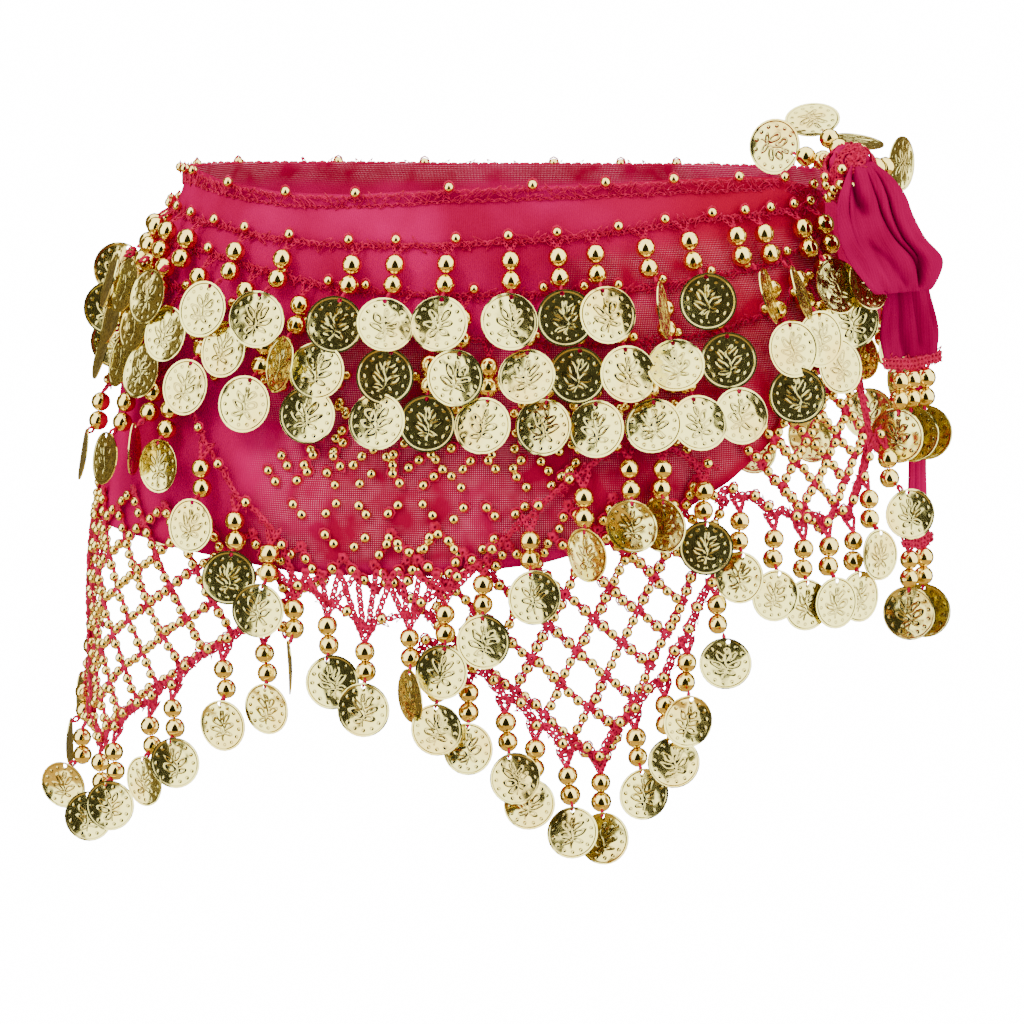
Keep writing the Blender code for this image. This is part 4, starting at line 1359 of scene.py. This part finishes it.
    def mesh_side(self, start: Array, end: Array, facing: Array, bare: float = 0.0) -> None:
        """Make one side of a cell: two or three beads, in a net threaded on a chain.

        Args:
            start: its first crossing.
            end: its last crossing.
            facing: the way that it faces.
            bare: how many sides of a lattice go without beads, from 0 to 1.
        """
        rng = self.kit.rng
        along = unit(end - start)
        across = np.cross(facing, along)
        slack = NET_SIDE_SLACK if self.thick else SIDE_SLACK
        middle = (start + end) / 2 + across * rng.uniform(-slack, slack) * MM
        if self.thick:
            self.chain(Route.through(np.array((start, middle, end)), facing), tilt=NET_TILT)
        if rng.random() < bare:
            return
        count = 2 + (self.thick and rng.random() < THREE_BEADS)
        spread = 0.36 if self.thick and count == 2 else 0.3
        for k in range(count):
            share = (k - (count - 1) / 2) * spread + rng.uniform(-0.03, 0.03)
            point = middle + (end - start) * share
            point = point + (facing * 0.7 + across * rng.uniform(-0.5, 0.5)) * MM
            self.bead(self.kit.small_bead, point, along, facing)
            if rng.random() < LOOPED_BEADS:
                self.yarn.add(self.kit.bead_loop, placing(point, along, facing))

    def crossing(self, point: Array, along: Array, facing: Array) -> None:
        """Knot the yarn where the sides of cells meet."""
        across = np.cross(facing, along)
        for turn, lift in CROSSING:
            way = along * cos(turn) + across * sin(turn)
            self.yarn.add(self.loop, placing(point + facing * lift * MM, way, facing, 1.1))

    def pieces(self, name: str, nodes: tuple = ()) -> None:
        """Make the pieces of what was gathered."""
        if self.yarn.total:
            self.yarn.piece(name + "_yarn", self.kit.yarn, Slot.CROCHET, nodes)
        if self.beads.total:
            self.beads.piece(name + "_beads", self.kit.plating, Slot.GOLD, nodes)
        if self.coins.total:
            self.coins.piece(name + "_coins", self.kit.foil, Slot.GOLD, nodes, 28.0)


@dataclass(frozen=True)
class Wrap:
    """A stretch of the velvet cloth round the hips."""

    name: str
    span: tuple[float, float]
    side_angle: float = -128.0      # where the mesh ground starts on the front
    thickness: float = 1.0
    column: float = 0.9             # from one column of the cloth's grid to the next, in degrees
    # Fine gathers: the rise of each, and its waves in radians a millimetre of level and of length
    pleat_rise: float = 0.9         # of the pleats at the knot
    pleat_waves: tuple = (0.55, 0.12)
    pucker_rise: float = 0.7        # of the puckers at the top edge
    pucker_waves: tuple = (0.21, 0.067)     # both on the length
    pucker_depth: float = 9.0       # how far down they fade, in millimetres
    swell_rise: float = 0.25        # of a slow swell all over
    swell_waves: tuple = (0.09, 0.05)
    # Where the ground opens into mesh: the start and length of each rise from cloth to mesh
    front_below_row: tuple = (-4.0, 10.0)   # the third, in millimetres
    front_below_first: tuple = (6.0, 6.0)
    front_from: tuple = (-86.0, 10.0)       # below the first row, in degrees
    back_below_row: tuple = (10.0, 12.0)
    back_brim: tuple = (-9.0, 2.0)          # under the top edge
    back_share: float = 0.8
    hem_band: tuple = (3.5, 1.5)            # above the hem
    side_length: float = 9.0                # of the rise at side_angle
    # Bands of the grid: upper line, lower line, rows
    bands: tuple = ((Line.TOP, Line.ROW_1, 6), (Line.ROW_1, Line.ROW_2, 6),
                    (Line.ROW_2, Line.ROW_3, 6), (Line.ROW_3, Line.HEM, 26))

    def build(self, kit: Kit) -> None:
        """Make the cloth."""
        count = round((self.span[1] - self.span[0]) / self.column)
        angles = np.linspace(*self.span, count + 1)
        rows = []
        for upper, lower, steps in self.bands:
            high, low = level(angles, upper), level(angles, lower)
            rows += [high + (low - high) * k / steps for k in range(steps)]
        rows.append(level(angles, Line.HEM))
        heights = np.array(rows)
        angles = np.broadcast_to(angles, heights.shape)
        grid = FORM.place(angles, heights, self.ripple(angles, heights))
        flat = np.stack((FORM.length_at(angles) * MM, heights * MM), axis=-1)
        item = shell(self.name + "_velvet", grid, flat, self.thickness,
                     {"sheer": self.sheer(angles, heights),
                      "ruby": ramp(angles, -84.0, 30.0) * (angles < LAST_FRONT_ANGLE)})
        dress(item, kit.velvet, (self.name,))

    def ripple(self, angles: Array, heights: Array) -> Array:
        """Give the fine gathers, closer and deeper towards the knot and along the top edge."""
        to_knot = ramp(angles, -52.0, 25.0) * (angles < LAST_FRONT_ANGLE)
        lengths = FORM.length_at(angles)
        on_level, on_length = self.pleat_waves
        pleats = np.sin(heights * on_level + lengths * on_length) * self.pleat_rise * to_knot
        top = np.exp(-(level(angles, Line.TOP) - heights) / self.pucker_depth)
        short, long = self.pucker_waves
        puckers = np.sin(lengths * short) * np.sin(lengths * long + 1.0) * self.pucker_rise * top
        on_level, on_length = self.swell_waves
        swell = self.swell_rise * np.sin(lengths * on_length + heights * on_level)
        return pleats + puckers + swell

    def sheer(self, angles: Array, heights: Array) -> Array:
        """Give how far the ground is open mesh, from 0 to 1."""
        # the open ground also carries the painted light that shows through its holes
        below = level(angles, Line.ROW_3) - heights
        if self.span[0] > LAST_FRONT_ANGLE:
            brim = ramp(heights - level(angles, Line.TOP), *self.back_brim)
            return np.maximum(ramp(below, *self.back_below_row) * self.back_share, brim)
        upper = (ramp(level(angles, Line.ROW_1) - heights, *self.front_below_first)
                 * ramp(angles, *self.front_from))
        hemmed = ramp(heights - level(angles, Line.HEM), *self.hem_band)
        return (np.maximum(ramp(below, *self.front_below_row), upper) * hemmed
                * ramp(angles, self.side_angle, self.side_length))


@dataclass(frozen=True)
class Braid:
    """A crocheted line on the cloth, with small beads along it and drops below it."""

    name: str
    angles: tuple
    heights: tuple
    out: float
    chains: tuple = (0.0,)              # each chain's shift across the line
    width: float = 1.15                 # of its stitches
    tilt: float = 18.0                  # of its stitches, in degrees
    whiskers: tuple = (1.7, (1.2, 4.0))     # their reach and spacing
    thick: bool = False
    bead_side: float = 2.6
    bead_spacing: tuple = (12.0, 26.0)
    bead_angles: tuple = ()             # in place of a spacing
    drops: tuple = ()
    bead_out: float = 7.0
    coin_out: float = 11.4
    lift: float = 0.0           # how far the line lies above its drops' roots
    scallop: float = 0.0        # how far it rises between two drops
    tied: bool = False          # whether cords tie it to the hem above it
    ties: tuple = (-3.4, -1.2, 1.2, 3.4)    # where the cords end, in degrees from the drop
    tie_heights: tuple = (4.0, 24.0)        # the least and most that they span

    @classmethod
    def level_line(cls, name: str, span: tuple, line: Line, out: float, shift: float = 0.0,
                   **more: object) -> "Braid":
        """Lay a line along one of the cloth's levels."""
        angles = np.linspace(*span, round((span[1] - span[0]) / 2.5) + 1)
        return cls(name, tuple(angles), tuple(level(angles, line) + shift), out, **more)

    def build(self, kit: Kit) -> None:
        """Crochet the line and hang its drops."""
        made = Strung(kit, line_lift=self.lift, thick=self.thick)
        route = Route.on_hips(*self.scalloped(), self.out)
        for side in self.chains:
            made.chain(route, side, tilt=self.tilt, width=self.width)
        made.whiskers(route, *self.whiskers)
        for angle in self.bead_angles:
            height = float(np.interp(angle, self.angles, self.heights))
            facing = FORM.outward(angle, height)
            point = FORM.place(angle, height, self.out)
            made.edge_bead(point, sideways(facing), facing, self.bead_side)
        if not self.bead_angles:
            made.edge_beads(route, self.bead_side, self.bead_spacing)
        for drop in self.drops:
            made.hang(drop, self.out, self.bead_out, self.coin_out)
            if self.tied:
                self.tie(made, drop)
        made.pieces(self.name, (self.name,))

    def tie(self, made: Strung, drop: Drop) -> None:
        """Tie the line up to the cloth on both sides of a drop that hangs below the hem."""
        foot = drop.height + self.lift
        for turn in self.ties:
            angle = drop.angle + turn
            hem = float(level(angle, Line.HEM)) + 1.0
            if self.tie_heights[0] < hem - foot < self.tie_heights[1]:
                route = Route.on_hips((drop.angle + turn / 4, angle), (foot, hem), self.out)
                made.chain(route, tilt=NET_TILT)

    def scalloped(self) -> tuple[Array, Array]:
        """Give the line's angles and heights, lifted and risen between its drops."""
        count = len(self.angles)
        fine = np.linspace(0, count - 1, 6 * (count - 1) + 1)
        angles = np.interp(fine, np.arange(count), self.angles)
        heights = np.interp(fine, np.arange(count), self.heights) + self.lift
        return angles, heights + self.scallop * np.sin(pi * (fine % 1.0)) ** 0.7


def even_drops(span: tuple, line: Line, count: int, shift: float, lift: float = 0.0,
               slack: float = 0.0) -> tuple:
    """Spread drops evenly along a line of the back, the first a part of a step in."""
    first, last = FORM.length_at(span[0]), FORM.length_at(span[1])
    drops = []
    for k in range(count):
        angle = float(FORM.angle_at(first + (last - first) * (k + shift) / count))
        glint = (Glint.PALE, Glint.MIXED, Glint.HUNG)[k % 3]
        drops.append(Drop(angle, float(level(angle, line)) + lift, layer=k % 2, glint=glint,
                          slack=slack))
    return tuple(drops)


class Lines:
    """All the crocheted lines: the edging, the level rows, the swags and the net edges."""

    def braids(self) -> list[Braid]:
        """List the lines."""
        made = []
        made.append(Braid.level_line("trim_front", FRONT_TRIM, Line.TOP, LINE_OUT, -2.6,
                                     chains=(-2.3, 1.6), width=0.6, whiskers=(1.7, (1.5, 3.4)),
                                     bead_side=3.4, bead_angles=TRIM_BEADS))
        made.append(Braid.level_line("trim_back", BACK_TRIM, Line.TOP, LINE_OUT, -2.6,
                                     chains=(-1.8, 0.2, 2.0), width=1.0, thick=True,
                                     whiskers=(3.0, (1.2, 2.6)), bead_side=3.0,
                                     bead_spacing=(26.0, 60.0)))
        # Line, its drops, how far out their coins hang, extra thread
        for line, table, out, slack in ((Line.ROW_1, ROW_1_DROPS, 17.8, 0.0),
                                        (Line.ROW_2, ROW_2_DROPS, 14.4, 1.6),
                                        (Line.ROW_3, ROW_3_DROPS, 11.2, 2.6)):
            number = line.value - 1
            front = tuple(Drop(angle, float(level(angle, line)), turn, lean, layer, Glint(glint),
                               slack)
                          for angle, turn, lean, layer, glint in table)
            back = even_drops(BACK_DROPS, line, ROW_DROPS, 0.9 if line is Line.ROW_2 else 0.4,
                              slack=slack)
            beads = ROW_1_BEADS if line is Line.ROW_1 else ()
            made.append(Braid.level_line(f"row_{number}_front", FRONT_LINES, line, LINE_OUT,
                                         drops=front, coin_out=out, bead_angles=beads))
            made.append(Braid.level_line(f"row_{number}_back", BACK_LINES, line, LINE_OUT,
                                         drops=back, coin_out=out))
        # Name, drops, ends in degrees, how far out the coins and the beads hang, size of the coins
        for name, table, start, end, coins, beads, size in (
                ("row_4_front", SWAG_DROPS, -174.0, -62.5, 12.4, 8.0, 0.95),
                ("edge_left", LEFT_EDGE, -193.0, -119.5, 11.6, 7.2, 0.91),
                ("edge_centre", CENTRE_EDGE, -101.6, -63.0, 11.6, 7.2, 0.91),
                ("edge_right", RIGHT_EDGE, -62.2, -32.4, 11.6, 7.2, 0.91)):
            angles = [start, *(row[0] for row in table), end]
            heights = read(table, angles)
            drops = tuple(Drop(angle, height, turn, lean, layer, Glint(glint), 0.0, size)
                          for angle, height, turn, lean, layer, glint in table)
            swag = name == "row_4_front"
            made.append(Braid(name, tuple(angles), tuple(heights), OVER_NET_OUT,
                              chains=(0.0,) if swag else (-0.6, 0.8), width=0.9,
                              thick=True, whiskers=(1.6, (2.0, 6.0)), bead_side=0.9,
                              bead_spacing=(14.0, 26.0) if swag else (8.0, 15.0), drops=drops,
                              bead_out=beads, coin_out=coins, lift=1.5,
                              scallop=1.5 if swag else 4.0, tied=swag))
        hem = even_drops(BACK_SWAG, Line.HEM, HEM_DROPS, 0.5, HEM_LINE_LIFT)
        made.append(Braid.level_line("row_4_back", BACK_SWAG, Line.HEM, HEM_LINE_OUT,
                                     HEM_LINE_LIFT, drops=hem))
        return made

    def build(self, kit: Kit) -> None:
        """Make every line."""
        for braid in self.braids():
            braid.build(kit)


@dataclass(frozen=True)
class Net:
    """An open net point below the hem, of cells with beaded sides."""

    name: str
    apex: float
    apex_level: float
    left_step: tuple[float, float]
    right_step: tuple[float, float]
    left_end: float
    right_end: float
    cords: tuple = ()
    beyond: int = 0
    cells: int = 16
    lap: float = 9.0            # how far it reaches up over the hem, in millimetres
    outer_end: float = -195.0   # where the cells beyond the apex end, in degrees

    def corner(self, i: int, j: int) -> tuple[float, float]:
        """Give a crossing as a length along the cloth and a level."""
        start = FORM.length_at(self.apex)
        return (start + i * self.left_step[0] + j * self.right_step[0],
                self.apex_level + i * self.left_step[1] + j * self.right_step[1])

    def sides(self) -> set:
        """List the sides of all cells, each as its two crossings."""
        made = set()
        for i in range(self.cells):
            for j in range(-self.beyond, self.cells):
                ring = [(i, j), (i, j + 1), (i + 1, j + 1), (i + 1, j)]
                spots = np.array([self.corner(*place) for place in ring])
                angles = FORM.angle_at(spots[:, 0])
                roof = level(FORM.angle_at(spots[:, 0].mean()), Line.HEM) + self.lap
                floor = read(LEFT_EDGE, angles) + 1.0
                if j < 0 and (angles.min() < self.outer_end or np.any(spots[:, 1] < floor)):
                    continue
                if (angles.min() > self.left_end and angles.max() < self.right_end
                        and spots[:, 1].mean() < roof):
                    for k in range(4):
                        made.add(tuple(sorted((ring[k], ring[(k + 1) % 4]))))
        return made

    def build(self, kit: Kit) -> None:
        """Make the net."""
        made = Strung(kit, thick=True)
        weave(made, self.sides(), self.corner, NET_OUT)
        for cord in self.cords:
            angles, heights = zip(*cord)
            route = Route.on_hips(angles, heights, NET_OUT + 1.6)
            for side in (-0.9, 0.8):
                made.chain(route, side, tilt=16.0, width=1.1)
            made.whiskers(route, 1.8, (1.5, 4.0))
        made.pieces(self.name, (self.name,))


def weave(made: Strung, sides: set, corner: Callable, out: float, bare: float = 0.0) -> None:
    """Make the sides and crossings of a net or lattice on the hips.

    Args:
        made: what they are added to.
        sides: pairs of crossings.
        corner: gives a crossing's length along the cloth and its level.
        out: distance from the cloth's middle, in millimetres.
        bare: how many sides go without beads, from 0 to 1.
    """
    points, normals = {}, {}
    for side in sorted(sides):
        for place in side:
            along, height = corner(*place)
            angle = FORM.angle_at(along)
            points[place] = FORM.place(angle, height, out)
            normals[place] = FORM.outward(angle, height)
    for first, last in sorted(sides):
        along = unit(points[last] - points[first])
        facing = normals[first] + normals[last]
        facing = unit(facing - along * facing.dot(along))
        made.mesh_side(points[first], points[last], facing, bare)
    for place in sorted(points) if made.thick else ():
        made.crossing(points[place], sideways(normals[place]), normals[place])


@dataclass(frozen=True)
class Lattice:
    """A beaded lattice laid over the cloth."""

    name: str
    start: float
    start_level: float
    step: tuple[float, float] = (13.2, 12.8)
    reach: int = 26
    out: float = 1.3
    bare: float = 0.08                  # the share of its sides that have no beads
    front: tuple = (-162.0, -65.0)      # where it lies, in degrees
    back: tuple = (6.0, 160.0)
    above_hem: float = 9.0              # on the back, in millimetres
    below_row: float = 5.0

    def corner(self, i: int, j: int) -> tuple[float, float]:
        """Give a crossing as a length along the cloth and a level."""
        start = FORM.length_at(self.start)
        return (start + (j - i) * self.step[0], self.start_level + (i + j) * self.step[1])

    def covers(self, i: int, j: int) -> bool:
        """Tell whether a crossing lies on the lattice's ground."""
        along, height = self.corner(i, j)
        angle = FORM.angle_at(along)
        (first, last), foot = self.front, read(SWAG_DROPS, angle) + 1.0
        if angle > LAST_FRONT_ANGLE:
            (first, last), foot = self.back, level(angle, Line.HEM) + self.above_hem
        return first < angle < last and foot < height < level(angle, Line.ROW_3) - self.below_row

    def over_cloth(self, side: tuple) -> bool:
        """Tell whether a side lies wholly over the cloth."""
        return all(height >= level(FORM.angle_at(along), Line.HEM) + 1.0
                   for along, height in (self.corner(*place) for place in side))

    def build(self, kit: Kit) -> None:
        """Make the lattice."""
        sides = set()
        for i in range(-self.reach, self.reach):
            for j in range(-self.reach, self.reach):
                if 0 <= i + j < self.reach and self.covers(i, j):
                    for other in ((i + 1, j), (i, j + 1)):
                        if self.covers(*other):
                            sides.add(((i, j), other))
        laid = {side for side in sides if self.over_cloth(side)}
        for name, part, thick in ((self.name, laid, False),
                                  (self.name + "_open", sides - laid, True)):
            made = Strung(kit, thick=thick)
            weave(made, part, self.corner, self.out, 0.0 if thick else self.bare)
            made.pieces(name)


@dataclass(frozen=True)
class Fold:
    """A ridge or trough of a tied piece; its ends are shares across and down the piece."""

    start: tuple[float, float]
    end: tuple[float, float]
    spread: float
    rise: float                 # in millimetres, under 0 for a trough
    fade: float = 0.1           # the share down over which it begins and ends

    def form(self, share: Array, down: Array) -> Array:
        """Give its form from 0 to 1."""
        along = ramp(down, self.start[1], self.end[1] - self.start[1])
        middle = self.start[0] + (self.end[0] - self.start[0]) * along
        begun = np.clip((down - self.start[1]) / self.fade + 0.5, 0.0, 1.0)
        ended = np.clip((self.end[1] - down) / self.fade + 0.5, 0.0, 1.0)
        return np.exp(-((share - middle) / self.spread) ** 2) * begun * ended


@dataclass(frozen=True)
class Pleated:
    """A tied piece of the cloth between two sides, with folds that open out downwards."""

    name: str
    table: tuple
    folds: tuple
    held: str
    turns_at: int = 0           # the row where a loop turns up again
    satin: bool = True
    thickness: float = 1.0
    columns: int = 48
    steps: int = 8
    full_width: float = 34.0    # where the folds reach their full rise, in millimetres
    # painted shade in the troughs of the folds
    most_painted_shade: float = 0.8      # how dark a trough gets at most
    least_area: float = 0.31    # of a sheet, as a share of its rectangle

    def smooth(self, rows: Array) -> Array:
        """Give a rounded run through the table's rows."""
        padded = np.concatenate((rows[:1] * 2 - rows[1:2], rows, rows[-1:] * 2 - rows[-2:-1]))
        made = []
        for k in range(len(rows) - 1):
            a, b, c, d = padded[k:k + 4]
            for step in range(self.steps):
                t = step / self.steps
                made.append(0.5 * (2 * b + (c - a) * t + (2 * a - 5 * b + 4 * c - d) * t * t
                                   + (3 * b - 3 * c + d - a) * t ** 3))
        made.append(rows[-1])
        return np.array(made)

    def folded(self, share: Array, down: Array, size: Array) -> tuple[Array, Array]:
        """Lay the folds.

        Args:
            share: places across, from 0 to 1.
            down: places down, 1 where a loop turns.
            size: the piece's width at each row, in millimetres.

        Returns:
            The rise in millimetres, and how dark the painted shade is at each place in a trough,
            from 0 to 1.
        """
        rise = 0.35 * np.sin(share * 31.0 - down * 7.0) + 0.25 * np.sin(share * 57.0 + down * 5.0)
        deep = np.zeros(rise.shape)
        for row in self.folds:
            fold = Fold(*row)
            form = fold.form(share, down)
            rise = rise + fold.rise * form
            # painted shade, darker where a trough is deeper
            deep = deep + np.clip(-fold.rise / 4.0, 0.0, self.most_painted_shade) * form
        rise = rise * np.clip(size / self.full_width, 0.25, 1.0)
        return rise, np.clip(deep, 0.0, self.most_painted_shade)

    def build(self, kit: Kit) -> None:
        """Make the cloth."""
        rows = self.smooth(np.array(self.table, float))
        share = np.linspace(0.0, 1.0, self.columns + 1)
        left = np.stack((rows[:, 1], rows[:, 2], rows[:, 0]), axis=-1)[:, None]
        right = np.stack((rows[:, 3], rows[:, 4], rows[:, 0]), axis=-1)[:, None]
        side = right - left
        size = np.linalg.norm(side, axis=-1)
        facing = unit(np.stack((side[..., 1], -side[..., 0], 0 * side[..., 0]), axis=-1))
        turns_at = self.turns_at or len(self.table) - 1
        down = (np.arange(len(rows)) / (self.steps * turns_at))[:, None]
        rise, deep = self.folded(share[None], down, size)
        grid = left + side * share[None, :, None] + facing * rise[..., None]
        steps = np.linalg.norm(np.diff(grid, axis=0), axis=-1).mean(axis=1)
        fall = summed(steps)
        u = (share - 0.5)[None] * size * MM
        flat = np.stack((u, np.broadcast_to(fall[:, None] * MM, u.shape)), axis=-1)
        # the fold attribute carries the painted shade of the troughs
        item = shell(self.name + "_velvet", grid * MM, flat, self.thickness,
                     {"sheer": np.zeros(u.shape), "fold": deep})
        finish = kit.satin if self.satin else kit.velvet
        dress(item, finish, (self.name,))


@dataclass(frozen=True)
class EndBraid:
    """The crocheted end of a tied piece, with its drops."""

    name: str
    last_row: tuple
    drops: tuple
    # Places below the cloth's end, in millimetres
    chains: tuple = (0.6, 2.6)
    sag: float = 1.6
    roots: float = 2.7
    cord: float = 4.0
    cord_spread: float = 3.2

    def build(self, kit: Kit) -> None:
        """Crochet the end and hang its drops."""
        made = Strung(kit, thick=True)
        z, left_x, left_y, right_x, right_y = self.last_row
        left, right = np.array((left_x, left_y, z)), np.array((right_x, right_y, z))
        side = right - left
        facing = unit(np.array((side[1], -side[0], 0.0)))
        for below in self.chains:
            drawn = np.array((left, (left + right) / 2, right))
            drawn[:, 2] -= (below, below + self.sag, below)
            run = Route.through(drawn * MM, facing)
            made.chain(run, lift=0.4, tilt=22.0, width=1.1)
            made.whiskers(run, 2.0, (1.0, 2.6))
        down = np.array((0.0, 0.0, -1.0))
        for share, angle in self.drops:
            root = (left + side * share + down * self.roots) * MM
            way = np.array((cos(radians(angle)), sin(radians(angle)), 0.0))
            for aside in (-self.cord_spread, self.cord_spread):
                made.cord([root + unit(side) * aside * MM, root + down * self.cord * MM], facing)
            straight(made, root, down, way, Glint.MIXED)
        made.pieces(self.name, (self.name,))


def straight(made: Strung, root: Array, down: Array, facing: Array, glint: Glint) -> None:
    """Add a drop that points one way from its root, its coin facing another."""
    beads = [root + down * below * MM for below in BEADS_BELOW]
    hole = root + down * (LINK_BELOW + COIN_HANGS - Coin.hole_height) * MM
    facing = unit(facing - down * facing.dot(down))
    made.string(root, beads, hole, facing)
    made.hook(hole, -down, facing, glint)


@dataclass(frozen=True)
class Knot:
    """The tied knot: a twisted lump of cloth wrapped in crochet, with drops caught in it."""

    centre: tuple = (141.0, -61.0, 2.0)
    radii: tuple = (13.0, 10.0, 14.0)
    lump_centre: tuple = (138.0, -61.5, -0.5)
    lump_radii: tuple = (10.6, 9.4, 11.6)
    lump_size: float = 0.93     # of the cloth, against the crochet round it
    root_depth: float = 0.7     # where the drops begin, as a share of the radii
    run_out: float = 0.6        # of the crochet round the lump, in millimetres
    run_half: float = 1.2       # how far up and down the lump it goes, in radians
    run_turn: float = 1.4       # how far it turns for each radian up, at a pitch of 1
    # Runs of crochet round the lump: start and pitch of the turn
    runs: tuple = ((0.2, 1.0), (0.8, 1.1), (2.5, -1.2), (3.1, -1.2), (3.7, -1.0), (3.9, 0.3),
                   (4.2, 0.7), (4.45, 0.2), (4.7, 0.6), (5.3, 0.9))
    # Each drop: the way it points, the way its coin faces, its glint
    drops: tuple = (
        ((-40, 24, 8), (0, -1, 0), Glint.PALE),
        ((-19, 35, 20), (0, -1, 1), Glint.HUNG),
        ((4, 38, 8), (0, -1, 0.7), Glint.HUNG),
        ((22, 34, -1), (1, -0.6, 0), Glint.HUNG),
    )

    def lump(self, kit: Kit) -> None:
        """Model the twisted lump of cloth."""
        item = primitive(bpy.ops.mesh.primitive_uv_sphere_add, segments=48, ring_count=28,
                         radius=1.0)
        item.name = "knot_velvet"
        for vertex in item.data.vertices:
            x, y, z = vertex.co
            turn = np.arctan2(y, x)
            band = 1.0 + 0.12 * sin(3 * turn + 5 * z) + 0.06 * sin(7 * turn - 9 * z)
            vertex.co = [(c + v * r * band * self.lump_size) * MM
                         for c, v, r in zip(self.lump_centre, (x, y, z), self.lump_radii)]
        bpy.ops.object.shade_smooth()
        dress(item, kit.velvet, ("knot",))

    def build(self, kit: Kit) -> None:
        """Make the knot and what is caught in it."""
        self.lump(kit)
        made = Strung(kit, thick=True)
        centre, radii = np.array(self.lump_centre), np.array(self.lump_radii)
        for start, pitch in self.runs:
            t = np.linspace(-self.run_half, self.run_half, 40)
            turn = start + pitch * t * self.run_turn
            ball = np.stack((np.cos(turn) * np.cos(t), np.sin(turn) * np.cos(t), np.sin(t)),
                            axis=-1)
            points = (centre + ball * (radii + self.run_out)) * MM
            route = Route.through(points, np.array((0.2, -1.0, 0.1)))
            facing = unit((route.points / MM - centre) / radii)
            route = Route(route.points, route.along, facing)
            made.chain(route, tilt=26.0, width=1.1)
            made.whiskers(route, 1.8, (1.2, 3.0))
            made.edge_beads(route, 1.8, (14.0, 34.0))
        centre, radii = np.array(self.centre), np.array(self.radii)
        for way, facing, glint in self.drops:
            direction = unit(np.array(way, float))
            root = (centre + direction * radii * self.root_depth) * MM
            straight(made, root, direction, unit(np.array(facing, float)), glint)
        made.pieces("knot", ("knot",))


class Scarf:
    """The whole hip scarf, in the order in which it is made up."""

    def __init__(self, studio: Studio) -> None:
        """Prepare its shapes and finishes."""
        self.kit = Kit.prepare(studio)

    def parts(self) -> list:
        """List its parts."""
        return [
            Wrap("cloth_front", (-180.0, -27.0)), Wrap("cloth_back", (-18.0, 180.0)),
            Lines(),
            *(Net(*row) for row in NETS),
            Lattice("lattice_front", -112.0, -176.0),
            Lattice("lattice_back", 84.0, -118.0, (11.0, 11.0)),
            Knot(),
            Pleated("bow_loop", BOW_FRONT + BOW_BACK, BOW_FOLDS, "folded",
                    len(BOW_FRONT) - 1, columns=80),
            Pleated("tail_upper", TAIL_UPPER, TAIL_FOLDS, "hung"),
            Pleated("tail_lower", TAIL_LOWER, TAIL_FOLDS, "hung", satin=False, columns=16,
                    steps=10),
            EndBraid("tail_upper_drops", TAIL_UPPER[-1], TAIL_UPPER_DROPS),
            EndBraid("tail_lower_drops", TAIL_LOWER[-1], TAIL_LOWER_DROPS),
        ]

    def build(self) -> None:
        """Make every part."""
        for part in self.parts():
            part.build(self.kit)


def main() -> None:
    """Build the scarf and its stage."""
    studio = Studio()
    Scarf(studio).build()
    studio.build()
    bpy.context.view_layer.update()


if __name__ == "__main__":
    main()
